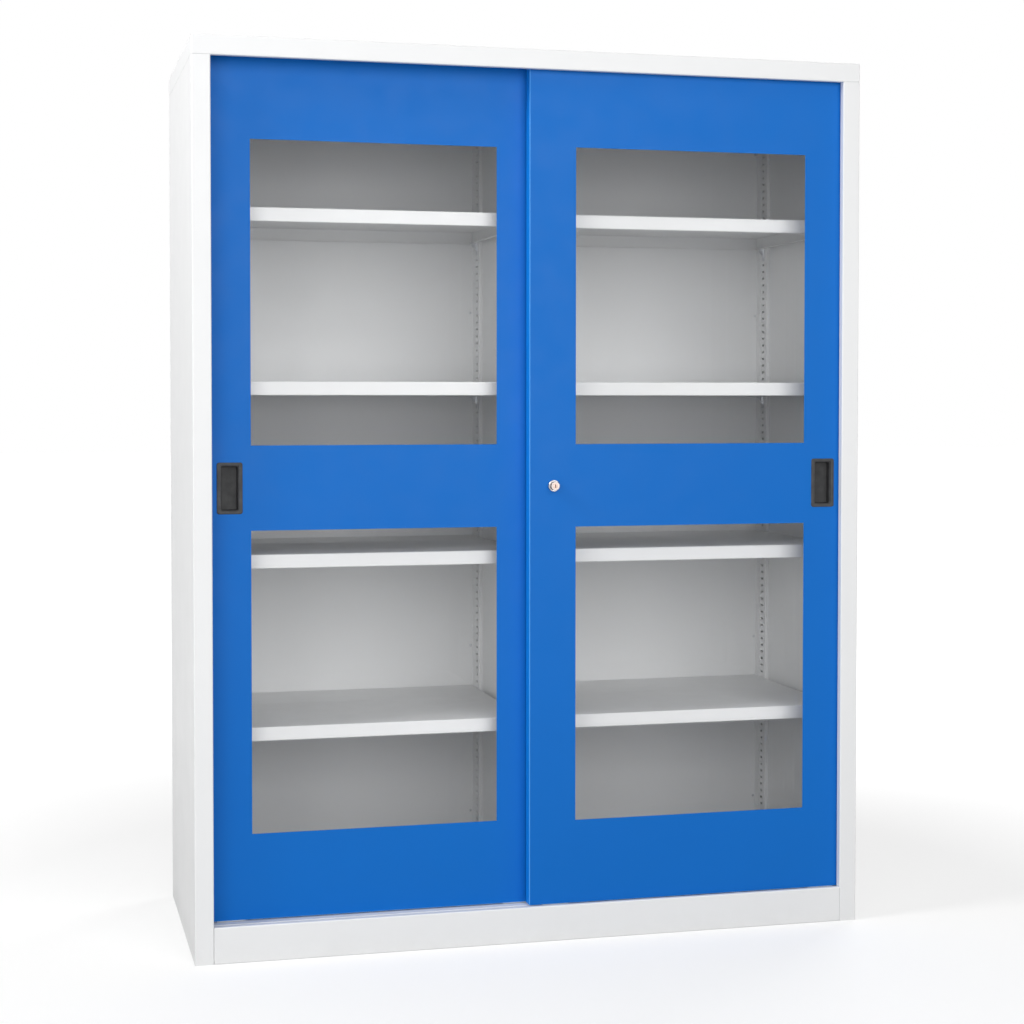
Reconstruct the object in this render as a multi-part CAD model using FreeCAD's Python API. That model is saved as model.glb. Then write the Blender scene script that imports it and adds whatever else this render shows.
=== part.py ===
"""Sliding door cabinet: a folded steel body with two bays, eight shelves and two hanging doors.

Units are millimetres. X runs to the right, Y to the rear and Z up. The origin is on the floor,
in the middle of the width and of the depth.
"""
import FreeCAD, Part
import math
import os

Vec = FreeCAD.Vector

# ---- Cabinet body ----
overall_width = 1500.0
overall_depth = 600.0
overall_height = 1950.0
body_sheet = 1.2
body_bend = 2.5             # outer radius of the body's folds
body_fold = 5.0             # flat strip that stays with each fold of the body
post_width = 40.0           # front face of each side post
post_return = 18.0          # how far the post folds back towards the doors
post_lip = 12.0             # last fold of the post, towards the side wall
side_rear_flange = 20.0
cap_height = 42.0
cap_hem = 12.0              # fold along the lower edge of the cap
plinth_height = 78.0
plinth_lip = 12.0
plinth_lip_drop = 18.0
plinth_foot = 20.0
plinth_seam = 0.5           # open seam between the plinth and each post
ledge_width = 20.0          # flanges at the top and the foot of the side panels
ledge_front_gap = 100.0     # from the front plane to those flanges
ledge_rear_gap = 28.0
corner_relief = 1.5         # notch at the floor panel's rear corners
floor_edge = 25.0           # height of the floor panel's front and side folds
floor_rear_foot = 13.8
floor_gap = 4.0             # from the rear door to the floor panel

# ---- Rear panels, partition and cap stiffener ----
rear_sheet = 1.0
rear_bend = 2.0
rear_fold = 3.0             # flat strip that stays with each fold of a rear panel
rear_side_fold = 25.0
partition_sheet = 1.5
partition_front_return = 8.0
partition_flange = 20.0     # to each side of the partition's web
partition_flange_inset = 17.0
partition_flange_rear_gap = 38.8
stiffener_foot = 15.0

# ---- Shelves, their perforated strips and clips ----
shelf_count = 4
shelf_edge = 30.0
shelf_sheet = 1.0
shelf_bend = 2.0
shelf_hem = 12.0
shelf_side_gap = 1.0
shelf_rear_gap = 3.8
door_to_shelf = 14.0
strip_sheet = 1.0
strip_bend = 2.0
strip_width = 42.0
strip_depth = 9.0
strip_rear_gap = 0.8        # from the rear panel's fold to the rear strip
strip_front_inset = 10.0    # from the shelf's front edge to the front strip
strip_end_gap = 10.0
hole_pitch = 17.0
hole_width = 13.0
hole_height = 5.0
hole_count = 105
first_hole_rise = 34.0      # from the strip's lower end to its first hole
first_shelf_hole = 18       # pitches from the first hole to the lowest shelf's clips
holes_per_level = 22
clip_sheet = 1.5
clip_bend = 2.0
clip_reach = 17.0
clip_width = 16.0
clip_rise = 24.0            # from the hole's centre up to the seat
clip_tail = 6.0             # back plate below the hole's centre
clip_rib_height = 20.0
hook_width = 8.0
hook_height = 3.5
hook_gap = 0.2
hook_rise = 6.0             # tip of the hook above the hole's centre

# ---- Doors ----
door_sheet = 1.0
door_bend = 2.5
door_thickness = 30.0
door_hem = 15.0
door_overlap = 40.0
right_door_end_gap = 16.8   # from the right door's edge to the side wall
left_door_end_gap = 20.8    # from the left door's edge to the side wall
post_to_door = 2.0
door_to_door = 4.0
travel_end_gap = 35.8       # from the open right door to the left side wall
window_width = 539.0
window_top = 175.95         # from the door's upper edge to its upper window
window_base = 184.5         # from the door's lower edge to its lower window
window_rail = 182.0         # between the two windows
pane_thickness = 4.0
pane_lap = 12.0
pane_play = 1.0
pane_frame_inset = 5.0      # from the window's edge to the frame's inner edge
pane_frame_margin = 22.0    # from the window's edge to the frame's outer edge
pane_frame_thickness = 6.0
rib_width = 25.0
rib_depth = 25.0
rib_sheet = 1.0
rib_bend = 2.0
rib_margin = 90.0           # from the door's lower and upper edges to the outer ribs
rib_inset = 50.0            # from the middle of the window rail to the inner ribs
rib_end_gap = 2.0

# ---- Recessed grips ----
grip_inset = 60.0           # from the door's outer edge to the grip's middle
grip_width = 55.0
grip_height = 110.0
grip_corner = 5.0
grip_rim = 1.5
recess_width = 36.0
recess_height = 97.0
recess_depth = 18.0
recess_corner = 4.0
grip_wall = 2.0
grip_play = 0.5

# ---- Upper track, hangers and rollers ----
track_sheet = 1.5
track_bend = 2.5
track_front = 14.0          # from the front plane
track_rear_margin = 10.0    # behind the rear door
track_end_gap = 2.8
track_web_offset = 24.5     # from a door's face to the rear of its track's web
hanging_plane = 12.5        # from a door's face to its rollers and guides
roller_radius = 10.0
roller_groove_radius = 7.5
roller_groove_width = 2.4
roller_flare = 1.0
roller_width = 8.0
roller_chamfer = 0.6
roller_top_gap = 1.25
rolling_gap = 0.1
blade_height = 5.5
hanger_inset = 60.0         # from the door's edges to the hangers
hanger_sheet = 2.5
hanger_bend = 4.0
hanger_width = 50.0
hanger_face_gap = 2.5       # from the door's face to the hanger's plate
hanger_foot = 19.5
hanger_foot_gap = 1.5       # under the track
hanger_top_gap = 4.8        # under the roof
axle_radius = 3.0
axle_play = 0.05
axle_shoulder_radius = 4.5
axle_side_gap = 0.3
axle_head = 1.5
door_screw_radius = 2.5
door_screw_head = 4.6
door_screw_sink = 2.1
door_screw_length = 9.0
door_screw_spread = 17.0    # to each side of the hanger's middle
door_screw_plane = 14.0     # from the door's face
screw_play = 0.05
door_nut_width = 8.0
door_nut_height = 4.0
track_screw_count = 6
track_screw_plane = 50.5    # from the front plane
track_screw_margin = 80.0
body_screw_radius = 2.5
body_screw_head = 4.0
body_screw_head_height = 2.5
body_screw_sunk = 0.2       # tip under the outer face
cap_screw_count = 4
cap_screw_inset = 7.0       # from the side panel's outer face
cap_screw_margin = 60.0     # from the ends of the ledge
cap_screw_tip = 6.0
stiffener_screw_count = 3
stiffener_screw_offset = 11.0
stop_length = 15.0
stop_gap = 0.5
stop_width = 9.0
stop_height = 21.5

# ---- Lower guide rail, guides and buffers ----
rail_drop = 4.0             # below the top of the plinth
rail_sheet = 1.2
rail_bend = 1.7
rail_flange = 14.0
groove_width = 6.0
groove_depth = 12.0
door_lift = 2.5             # from the rail up to the door
guide_length = 60.0
guide_blade = 5.0
guide_plate_width = 18.0
guide_plate = 1.5
guide_floor_gap = 2.0
buffer_radius = 8.0
buffer_clearance = 0.8
buffer_chamfer = 2.0
buffer_inset = 225.0        # from the door's lower and upper edges

# ---- Push lock on the right door and keeper on the left door ----
lock_inset = 54.0           # from the door's inner edge
lock_stroke = 10.0
collar_radius = 12.5
collar_height = 10.0
collar_chamfer = 1.0
lock_body_radius = 11.4
lock_body_length = 29.0
lock_rear_wall = 3.0
lock_play = 0.1
running_play = 0.05
plunger_radius = 10.0
plunger_proud = 9.2         # in front of the collar
plunger_length = 29.2
plunger_chamfer = 0.8
bolt_radius = 5.0
bolt_proud = 0.5            # behind the door
plug_radius = 6.5
plug_length = 21.4
plug_proud = 0.4
plug_end_play = 0.2
key_slot_length = 7.5
key_slot_width = 1.8
key_slot_depth = 12.0
lock_nut_width = 27.0
lock_nut_height = 5.0
spring_wire = 0.9
spring_coil = 7.5
spring_turns = 4
keeper_sheet = 1.5
keeper_bend = 2.5
keeper_height = 40.0
keeper_reach = 26.0
keeper_face_gap = 2.0       # behind the left door's face
keeper_leg = 26.0
keeper_hole = 7.0

# ---- Rivets of the rear panels ----
rivet_radius = 2.0
rivet_head = 3.5
rivet_head_height = 1.2
rivet_count = 9
rivet_margin = 90.0
rivet_inset = 5.0           # from the edge of the flange behind the panel

# ---- Places worked out from the sizes above ----
front = -overall_depth / 2
rear = overall_depth / 2
half_width = overall_width / 2
wall_x = half_width - body_sheet
rear_plane = rear - body_sheet
cap_base = overall_height - cap_height
ceiling = overall_height - body_sheet
ledge_front = front + ledge_front_gap
ledge_rear = rear - ledge_rear_gap
right_door_face = front + post_return + post_to_door
left_door_face = right_door_face + door_thickness + door_to_door
doors_rear = left_door_face + door_thickness
floor_front = doors_rear + floor_gap
rail_top = plinth_height - rail_drop
door_bottom = rail_top + door_lift
axle_z = ceiling - track_sheet - roller_top_gap - roller_radius
blade_top = axle_z - roller_groove_radius - rolling_gap
track_bottom = blade_top - blade_height
door_top = track_bottom - hanger_foot_gap - hanger_sheet
door_width = (2 * wall_x - right_door_end_gap - left_door_end_gap + door_overlap) / 2
right_door_x = wall_x - right_door_end_gap - door_width
door_travel = right_door_x + wall_x - travel_end_gap
left_door_x = left_door_end_gap - wall_x
window_height = (door_top - door_bottom - window_base - window_rail - window_top) / 2
window_rail_z = door_bottom + window_base + window_height + window_rail / 2
right_grip_x = right_door_x + door_width - grip_inset
left_grip_x = left_door_x + grip_inset
bay_front = doors_rear + door_to_shelf
bay_inner_x = partition_sheet / 2 + strip_depth
bay_outer_x = wall_x - strip_depth
bay_middle = (bay_inner_x + bay_outer_x) / 2
rear_strip_y = rear_plane - rear_side_fold - strip_rear_gap - strip_width
front_strip_y = bay_front + strip_front_inset
strip_base = plinth_height + strip_end_gap
strip_top = cap_base - body_sheet - strip_end_gap
first_hole = strip_base + first_hole_rise
lock_x = right_door_x + lock_inset
lock_z = window_rail_z
collar_front = right_door_face - collar_height
plunger_front = collar_front - plunger_proud
plunger_rear = plunger_front + plunger_length
bolt_tip = right_door_face + door_thickness + bolt_proud
lock_bore_end = right_door_face + lock_body_length - lock_rear_wall


def block(low, high):
    """Return a block between two corners."""
    return Part.makeBox(high[0] - low[0], high[1] - low[1], high[2] - low[2], Vec(*low))


def rod(radius, start, end):
    """Return a round rod between two points."""
    run = Vec(*end) - Vec(*start)
    return Part.makeCylinder(radius, run.Length, Vec(*start), run)


def cone(start_radius, end_radius, start, end):
    """Return a cone between two points."""
    run = Vec(*end) - Vec(*start)
    return Part.makeCone(start_radius, end_radius, run.Length, Vec(*start), run)


def hexagon(width, start, end):
    """Return a hexagonal prism between two points on a line along Y or Z."""
    run = Vec(*end) - Vec(*start)
    radius = width / math.sqrt(3)
    corners = []
    for index in range(7):
        angle = math.radians(60 * index)
        corners.append(Vec(radius * math.cos(angle), radius * math.sin(angle), 0))
    prism = Part.Face(Part.makePolygon(corners)).extrude(Vec(0, 0, run.Length))
    prism.Placement = FreeCAD.Placement(Vec(*start), FreeCAD.Rotation(Vec(0, 0, 1), run))
    return prism


def fused(shapes):
    """Join shapes that touch or overlap into one clean solid."""
    return shapes[0].multiFuse(shapes[1:]).removeSplitter()


def moved(shape, x, y, z):
    """Return a copy of the shape, moved."""
    copy = shape.copy()
    copy.translate(Vec(x, y, z))
    return copy


def mirrored(shape, x=0.0):
    """Return the shape mirrored in the upright plane at x."""
    return shape.mirror(Vec(x, 0, 0), Vec(1, 0, 0))


def spaced(count, first, last):
    """Return evenly spaced places from first to last."""
    return [first + (last - first) * index / (count - 1) for index in range(count)]


def parted(shape, axis, places):
    """Return the shape in pieces, parted at the places along one axis."""
    size = shape.BoundBox
    low = [size.XMin, size.YMin, size.ZMin]
    high = [size.XMax, size.YMax, size.ZMax]
    pieces = []
    for start, end in zip([low[axis]] + places, places + [high[axis]]):
        low[axis] = start
        high[axis] = end
        pieces.append(shape.common(block(low, high)))
    return pieces


def drilled(shapes, holes):
    """Return the shapes with the holes cut out of each."""
    return [shape.cut(Part.makeCompound(holes)) for shape in shapes]


def save(name, shapes):
    """Write one node, which may be a group of separate solids."""
    solids = [solid for shape in shapes for solid in shape.Solids]
    node = solids[0] if len(solids) == 1 else Part.makeCompound(solids)
    node.exportStep("parts/" + name + ".step")


def rounded_line(points, radii):
    """Return the edges of an open line whose corners are arcs."""
    edges = []
    start = points[0]
    for before, corner, after, radius in zip(points, points[1:], points[2:], radii):
        back = (before - corner).normalize()
        ahead = (after - corner).normalize()
        half_angle = back.getAngle(ahead) / 2
        trim = radius / math.tan(half_angle)
        middle = corner + (back + ahead).normalize() * (radius / math.sin(half_angle) - radius)
        edges.append(Part.LineSegment(start, corner + back * trim).toShape())
        edges.append(Part.Arc(corner + back * trim, middle, corner + ahead * trim).toShape())
        start = corner + ahead * trim
    edges.append(Part.LineSegment(start, points[-1]).toShape())
    return edges


def beside(points, distance, side):
    """Return the corners of a right-angled line moved to one of its sides."""
    normals = []
    for start, end in zip(points, points[1:]):
        run = (end - start).normalize()
        normals.append(Vec(-run.y, run.x, 0) * side * distance)
    line = [points[0] + normals[0]]
    for index in range(1, len(points) - 1):
        line.append(points[index] + normals[index - 1] + normals[index])
    line.append(points[-1] + normals[-1])
    return line


def bent_sheet(path, thickness, bend, side, plane, start, end):
    """Return a folded sheet: a path with right-angled folds, thickened and extruded.

    The sheet lies to the left of the path where side is 1 and to the right where it is -1. Bend
    is the outer radius of its folds. Plane names the two axes that the path is drawn in.
    """
    points = [Vec(a, b, 0) for a, b in path]
    path_radii = []
    other_radii = []
    for before, corner, after in zip(points, points[1:], points[2:]):
        turn = (corner - before).cross(after - corner).z * side
        path_radii.append(bend if turn > 0 else bend - thickness)
        other_radii.append(bend - thickness if turn > 0 else bend)
    other_points = beside(points, thickness, side)
    edges = rounded_line(points, path_radii) + rounded_line(other_points, other_radii)
    edges.append(Part.LineSegment(points[0], other_points[0]).toShape())
    edges.append(Part.LineSegment(points[-1], other_points[-1]).toShape())
    section = Part.Face(Part.Wire(Part.__sortEdges__(edges)))
    sheet = section.extrude(Vec(0, 0, end - start))
    if plane == "XY":
        sheet.translate(Vec(0, 0, start))
    elif plane == "YZ":
        turned = FreeCAD.Rotation(Vec(0, 1, 0), Vec(0, 0, 1), Vec(1, 0, 0), "ZXY")
        sheet.Placement = FreeCAD.Placement(Vec(start, 0, 0), turned)
    else:
        turned = FreeCAD.Rotation(Vec(1, 0, 0), Vec(0, 0, 1), Vec(0, -1, 0), "ZXY")
        sheet.Placement = FreeCAD.Placement(Vec(0, end, 0), turned)
    return sheet


def folded_tray(low, high, mouth, sheet, bend, hem):
    """Return a tray with rounded folds that is open on one side.

    Mouth is the axis number and the direction of the open side. With a hem, the edges of the
    mouth are folded inwards.
    """
    axis, direction = mouth
    reach = 0 if hem else 2 * bend
    outer = [list(low), list(high)]
    end = 1 if direction > 0 else 0
    outer[end][axis] += direction * reach
    inner = [[value + sheet for value in outer[0]], [value - sheet for value in outer[1]]]
    shell = block(*outer)
    shell = shell.makeFillet(bend, shell.Edges)
    cavity = block(*inner)
    cavity = cavity.makeFillet(bend - sheet, cavity.Edges)
    tray = shell.cut(cavity)
    if not hem:
        return tray.common(block(low, high))
    opening = [[value + hem for value in low], [value - hem for value in high]]
    opening[1 - end][axis] = (low[axis] + high[axis]) / 2
    opening[end][axis] = outer[end][axis] + direction * hem
    return tray.cut(block(*opening))


# ---- Body ----

def side_panel():
    """Return the right side panel: its front post, wall, rear flange and end flanges."""
    post_outline = [
        (half_width - post_width + post_lip, front + post_return),
        (half_width - post_width, front + post_return),
        (half_width - post_width, front),
        (half_width, front),
        (half_width, front + body_fold),
    ]
    flange_outline = [
        (half_width, rear - body_fold),
        (half_width, rear),
        (half_width - side_rear_flange, rear),
    ]
    panel = [
        bent_sheet(post_outline, body_sheet, body_bend, 1, "XY", 0, cap_base),
        block((wall_x, front + body_fold, 0), (half_width, rear - body_fold, cap_base)),
        bent_sheet(flange_outline, body_sheet, body_bend, 1, "XY", 0, cap_base),
    ]
    for base in (0, cap_base - body_sheet):
        low = (wall_x - ledge_width, ledge_front, base)
        high = (wall_x, ledge_rear, base + body_sheet)
        panel.append(block(low, high))
    return panel


def cap():
    """Return the cap: its roof and the four bands with the fold along their lower edges."""
    low = (-half_width, front, cap_base)
    high = (half_width, rear, overall_height)
    tray = folded_tray(low, high, (2, -1), body_sheet, body_bend, cap_hem)
    front_band, middle, rear_band = parted(tray, 1, [front + cap_hem, rear - cap_hem])
    return [front_band, rear_band] + parted(middle, 0, [cap_hem - half_width, half_width - cap_hem])


def cap_stiffener():
    """Return the hat profile between the roof and the partition."""
    seat = cap_base + body_sheet
    outline = [
        (-partition_flange - stiffener_foot, ceiling),
        (-partition_flange, ceiling),
        (-partition_flange, seat),
        (partition_flange, seat),
        (partition_flange, ceiling),
        (partition_flange + stiffener_foot, ceiling),
    ]
    return bent_sheet(outline, body_sheet, body_bend, -1, "XZ", bay_front, ledge_rear)


def plinth_front():
    """Return the front of the plinth with its foot and its lip."""
    outline = [
        (front + plinth_foot, 0),
        (front, 0),
        (front, plinth_height),
        (front + plinth_lip, plinth_height),
        (front + plinth_lip, plinth_height - plinth_lip_drop),
    ]
    reach = half_width - post_width - plinth_seam
    return bent_sheet(outline, body_sheet, body_bend, -1, "YZ", -reach, reach)


def lower_guide_rail():
    """Return the lower rail with one groove for each door."""
    rail_front = front + plinth_lip
    outline = [(rail_front, rail_top - rail_flange), (rail_front, rail_top)]
    for face in (right_door_face, left_door_face):
        middle = face + hanging_plane
        outline.append((middle - groove_width / 2, rail_top))
        outline.append((middle - groove_width / 2, rail_top - groove_depth))
        outline.append((middle + groove_width / 2, rail_top - groove_depth))
        outline.append((middle + groove_width / 2, rail_top))
    outline.append((floor_front, rail_top))
    outline.append((floor_front, rail_top - rail_flange))
    reach = half_width - post_width - plinth_seam
    return bent_sheet(outline, rail_sheet, rail_bend, -1, "YZ", -reach, reach)


def floor_panel():
    """Return the floor of the bays: its front fold, plate, side folds and the rear of the plinth."""
    outline = [
        (floor_front + cap_hem, plinth_height - floor_edge),
        (floor_front, plinth_height - floor_edge),
        (floor_front, plinth_height),
        (rear_plane, plinth_height),
        (rear_plane, 0),
        (rear_plane - floor_rear_foot, 0),
    ]
    sheet = bent_sheet(outline, body_sheet, body_bend, -1, "YZ", -wall_x, wall_x)
    floor = parted(sheet, 1, [floor_front + cap_hem, rear_plane - body_fold])
    for x in (-wall_x, wall_x - body_sheet):
        low = (x, ledge_front, plinth_height - floor_edge)
        high = (x + body_sheet, ledge_rear, plinth_height - body_sheet)
        floor.append(block(low, high))
    notch = block((wall_x - corner_relief, rear_plane - corner_relief, 0), (wall_x, rear_plane, plinth_height))
    return drilled(floor, [notch, mirrored(notch)])


def rear_panel():
    """Return the rear panel of the right bay: its sheet and a fold along each side."""
    inner_edge = bay_inner_x - rear_sheet
    outer_edge = bay_outer_x + rear_sheet
    outline = [
        (inner_edge + rear_fold, rear_plane),
        (inner_edge, rear_plane),
        (inner_edge, rear_plane - rear_side_fold),
    ]
    fold = bent_sheet(outline, rear_sheet, rear_bend, 1, "XY", plinth_height, cap_base)
    low = (inner_edge + rear_fold, rear_plane - rear_sheet, plinth_height)
    high = (outer_edge - rear_fold, rear_plane, cap_base)
    return [block(low, high), fold, mirrored(fold, bay_middle)]


def centre_partition():
    """Return the upright wall between the bays: its web, nose, rear flange and end flanges."""
    web_low = (-partition_sheet / 2, bay_front, plinth_height)
    web_high = (partition_sheet / 2, rear_plane, cap_base)
    nose_outline = [
        (-bay_inner_x, bay_front + partition_front_return),
        (-bay_inner_x, bay_front),
        (bay_inner_x, bay_front),
        (bay_inner_x, bay_front + partition_front_return),
    ]
    nose = bent_sheet(nose_outline, body_sheet, body_bend, 1, "XY", plinth_height, cap_base)
    flange_low = (-partition_flange, rear_plane, plinth_height)
    flange_high = (partition_flange, rear, cap_base)
    around = [nose, block(flange_low, flange_high)]
    for base in (plinth_height, cap_base - body_sheet):
        low = (-partition_flange, bay_front + partition_flange_inset, base)
        high = (partition_flange, rear_plane - partition_flange_rear_gap, base + body_sheet)
        around.append(block(low, high))
    return drilled([block(web_low, web_high)], around) + around


def cap_screw_places():
    """Return where the screws between the cap and the side panels and partition go."""
    places = []
    x = half_width - cap_screw_inset
    for y in spaced(cap_screw_count, ledge_front + cap_screw_margin, ledge_rear - cap_screw_margin):
        places.append((x, y))
        places.append((-x, y))
    start = bay_front + partition_flange_inset + cap_screw_margin
    end = rear_plane - partition_flange_rear_gap - cap_screw_margin
    for y in spaced(stiffener_screw_count, start, end):
        places.append((stiffener_screw_offset, y))
        places.append((-stiffener_screw_offset, y))
    return places


def track_screw_places():
    """Return where the screws that hold the upper track go."""
    y = front + track_screw_plane
    reach = half_width - track_screw_margin
    return [(x, y) for x in spaced(track_screw_count, -reach, reach)]


def body_screw(place, seat, tip):
    """Return one pan-head screw pointing up, its head under the seat."""
    x, y = place
    head = rod(body_screw_head, (x, y, seat - body_screw_head_height), (x, y, seat))
    head = head.makeFillet(body_screw_head_height / 2, [head.Edges[2]])
    shank = rod(body_screw_radius, (x, y, seat), (x, y, tip))
    return fused([head, shank])


def upright_holes(places, radius, low, high):
    """Return round bars along Z, to cut holes with."""
    return [rod(radius, (x, y, low), (x, y, high)) for x, y in places]


def rivet_places():
    """Return where the rear panels are riveted to the flanges behind them."""
    columns = [partition_flange - rivet_inset, half_width - side_rear_flange + rivet_inset]
    rows = spaced(rivet_count, plinth_height + rivet_margin, cap_base - rivet_margin)
    places = []
    for x in columns:
        for z in rows:
            places.append((x, z))
            places.append((-x, z))
    return places


def rear_rivet(place):
    """Return one rivet, its tail flush with the cabinet's rear."""
    x, z = place
    seat = rear_plane - rear_sheet
    head = rod(rivet_head, (x, seat - rivet_head_height, z), (x, seat, z))
    head = head.makeFillet(rivet_head_height / 2, [head.Edges[2]])
    shank = rod(rivet_radius, (x, seat, z), (x, rear, z))
    return fused([head, shank])


def rivet_holes(places):
    """Return round bars along Y, to cut the rivets' holes with."""
    return [rod(rivet_radius, (x, rear_plane - rivet_inset, z), (x, rear, z)) for x, z in places]


# ---- Shelves ----

def support_strip():
    """Return the rear perforated strip on the partition's right side."""
    outline = [
        (partition_sheet / 2, rear_strip_y),
        (bay_inner_x, rear_strip_y),
        (bay_inner_x, rear_strip_y + strip_width),
        (partition_sheet / 2, rear_strip_y + strip_width),
    ]
    profile = bent_sheet(outline, strip_sheet, strip_bend, 1, "XY", strip_base, strip_top)
    middle = rear_strip_y + strip_width / 2
    slots = []
    for index in range(hole_count):
        z = first_hole + index * hole_pitch
        low = (bay_inner_x - 2 * strip_sheet, middle - hole_width / 2, z - hole_height / 2)
        high = (bay_inner_x + strip_sheet, middle + hole_width / 2, z + hole_height / 2)
        slots.append(block(low, high))
    return profile.cut(Part.makeCompound(slots))


def shelf_clip():
    """Return the lowest clip in the rear strip on the partition's right side."""
    x = bay_inner_x
    y = rear_strip_y + strip_width / 2
    hole = first_hole + first_shelf_hole * hole_pitch
    seat = hole + clip_rise
    outline = [(x + clip_reach, seat), (x, seat), (x, hole - clip_tail)]
    angle = bent_sheet(outline, clip_sheet, clip_bend, 1, "XZ", y - clip_width / 2, y + clip_width / 2)
    corners = [
        Vec(x + clip_sheet, y - clip_sheet / 2, seat - clip_sheet),
        Vec(x + clip_reach, y - clip_sheet / 2, seat - clip_sheet),
        Vec(x + clip_sheet, y - clip_sheet / 2, seat - clip_rib_height),
    ]
    rib = Part.Face(Part.makePolygon(corners + corners[:1])).extrude(Vec(0, clip_sheet, 0))
    hook_x = x - strip_sheet - hook_gap - clip_sheet
    shank_low = (hook_x, y - hook_width / 2, hole - hook_height / 2)
    shank_high = (x + clip_sheet, y + hook_width / 2, hole + hook_height / 2)
    tip_high = (hook_x + clip_sheet, y + hook_width / 2, hole + hook_rise)
    corner = block((x, y - clip_sheet / 2, seat - clip_bend), (x + clip_bend, y + clip_sheet / 2, seat))
    return fused([angle.cut(corner).fuse(corner).common(angle), rib, block(shank_low, shank_high),
                  block(shank_low, tip_high)])


def in_bay(shape):
    """Return the shape at the four strips of the right bay, from the one at the inner rear."""
    to_front = front_strip_y - rear_strip_y
    inner = [shape, moved(shape, 0, to_front, 0)]
    return inner + [mirrored(item, bay_middle) for item in inner]


def shelf(level):
    """Return one shelf of the right bay, numbered from the bottom."""
    hole = first_hole + (first_shelf_hole + level * holes_per_level) * hole_pitch
    base = hole + clip_rise
    low = (bay_inner_x + shelf_side_gap, bay_front, base)
    high = (bay_outer_x - shelf_side_gap, rear_plane - shelf_rear_gap, base + shelf_edge)
    return folded_tray(low, high, (2, -1), shelf_sheet, shelf_bend, shelf_hem)


# ---- Doors ----

def window_bases():
    """Return the heights of the lower edges of a door's two windows."""
    lower = door_bottom + window_base
    return [lower, lower + window_height + window_rail]


def framed(door_x, base, margin, near, far):
    """Return a block over one window, larger than the window by the margin."""
    x = door_x + (door_width - window_width) / 2
    low = (x - margin, near, base - margin)
    high = (x + window_width + margin, far, base + window_height + margin)
    return block(low, high)


def hanger_places(door_x):
    """Return the middles of a door's two hangers."""
    return [door_x + hanger_inset, door_x + door_width - hanger_inset]


def door_screw_places(door_x):
    """Return where a door's four hanger screws go."""
    places = []
    for x in hanger_places(door_x):
        places.append(x - door_screw_spread)
        places.append(x + door_screw_spread)
    return places


def rounded_block(low, high, radius):
    """Return a block with rounded corners between its front and rear faces."""
    shape = block(low, high)
    edges = []
    for edge in shape.Edges:
        size = edge.BoundBox
        if size.XLength < radius / 2 and size.ZLength < radius / 2:
            edges.append(edge)
    return shape.makeFillet(radius, edges)


def door_skin(door_x, face, grip_x):
    """Return a door's folded skin with its windows and holes."""
    low = (door_x, face, door_bottom)
    high = (door_x + door_width, face + door_thickness, door_top)
    skin = folded_tray(low, high, (1, 1), door_sheet, door_bend, door_hem)
    cuts = [framed(door_x, base, 0, face - door_sheet, face + 2 * door_sheet) for base in window_bases()]
    cuts.append(grip_block(grip_x, face, grip_wall + grip_play, -door_sheet, 2 * door_sheet))
    y = face + door_screw_plane
    for x in door_screw_places(door_x):
        cuts.append(rod(door_screw_radius + screw_play, (x, y, door_top - 2 * door_sheet), (x, y, door_top)))
    return skin.cut(Part.makeCompound(cuts))


def pane(door_x, face, base):
    """Return one pane, behind the door's skin."""
    near = face + door_sheet
    return framed(door_x, base, pane_lap, near, near + pane_thickness)


def pane_frame(door_x, face, base):
    """Return the frame that holds one pane."""
    near = face + door_sheet
    frame = framed(door_x, base, pane_frame_margin, near, near + pane_frame_thickness)
    pocket = framed(door_x, base, pane_lap + pane_play, near, near + pane_thickness)
    opening = framed(door_x, base, pane_frame_inset, near, near + pane_frame_thickness)
    return frame.cut(pocket).cut(opening)


def door_ribs(door_x, face, grip_x):
    """Return a door's four cross ribs."""
    near = face + door_sheet
    start = door_x + door_sheet + rib_end_gap
    end = door_x + door_width - door_sheet - rib_end_gap
    grip_reach = grip_width / 2 + rib_end_gap
    inner_start = start if grip_x > door_x + door_width / 2 else grip_x + grip_reach
    inner_end = grip_x - grip_reach if grip_x > door_x + door_width / 2 else end
    runs = [
        (door_bottom + rib_margin, start, end),
        (window_rail_z - rib_inset, inner_start, inner_end),
        (window_rail_z + rib_inset, inner_start, inner_end),
        (door_top - rib_margin, start, end),
    ]
    ribs = []
    for z, run_start, run_end in runs:
        outline = [
            (near + rib_depth, z - rib_width / 2),
            (near, z - rib_width / 2),
            (near, z + rib_width / 2),
            (near + rib_depth, z + rib_width / 2),
        ]
        ribs.append(bent_sheet(outline, rib_sheet, rib_bend, -1, "YZ", run_start, run_end))
    return ribs


def grip_block(grip_x, face, wall, near, far):
    """Return a block round a grip's recess, larger than the recess by the wall."""
    low = (grip_x - recess_width / 2 - wall, face + near, window_rail_z - recess_height / 2 - wall)
    high = (grip_x + recess_width / 2 + wall, face + far, window_rail_z + recess_height / 2 + wall)
    return rounded_block(low, high, recess_corner)


def grip(grip_x, face):
    """Return the recessed grip of one door."""
    low = (grip_x - grip_width / 2, face - grip_rim, window_rail_z - grip_height / 2)
    high = (grip_x + grip_width / 2, face, window_rail_z + grip_height / 2)
    rim = rounded_block(low, high, grip_corner)
    front_edges = [edge for edge in rim.Edges if edge.BoundBox.YMax < face - grip_rim / 2]
    rim = rim.makeFillet(grip_rim / 2, front_edges)
    tub = grip_block(grip_x, face, grip_wall, 0, recess_depth - grip_rim + grip_wall)
    recess = grip_block(grip_x, face, 0, -2 * grip_rim, recess_depth - grip_rim)
    return fused([rim, tub]).cut(recess)


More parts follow.
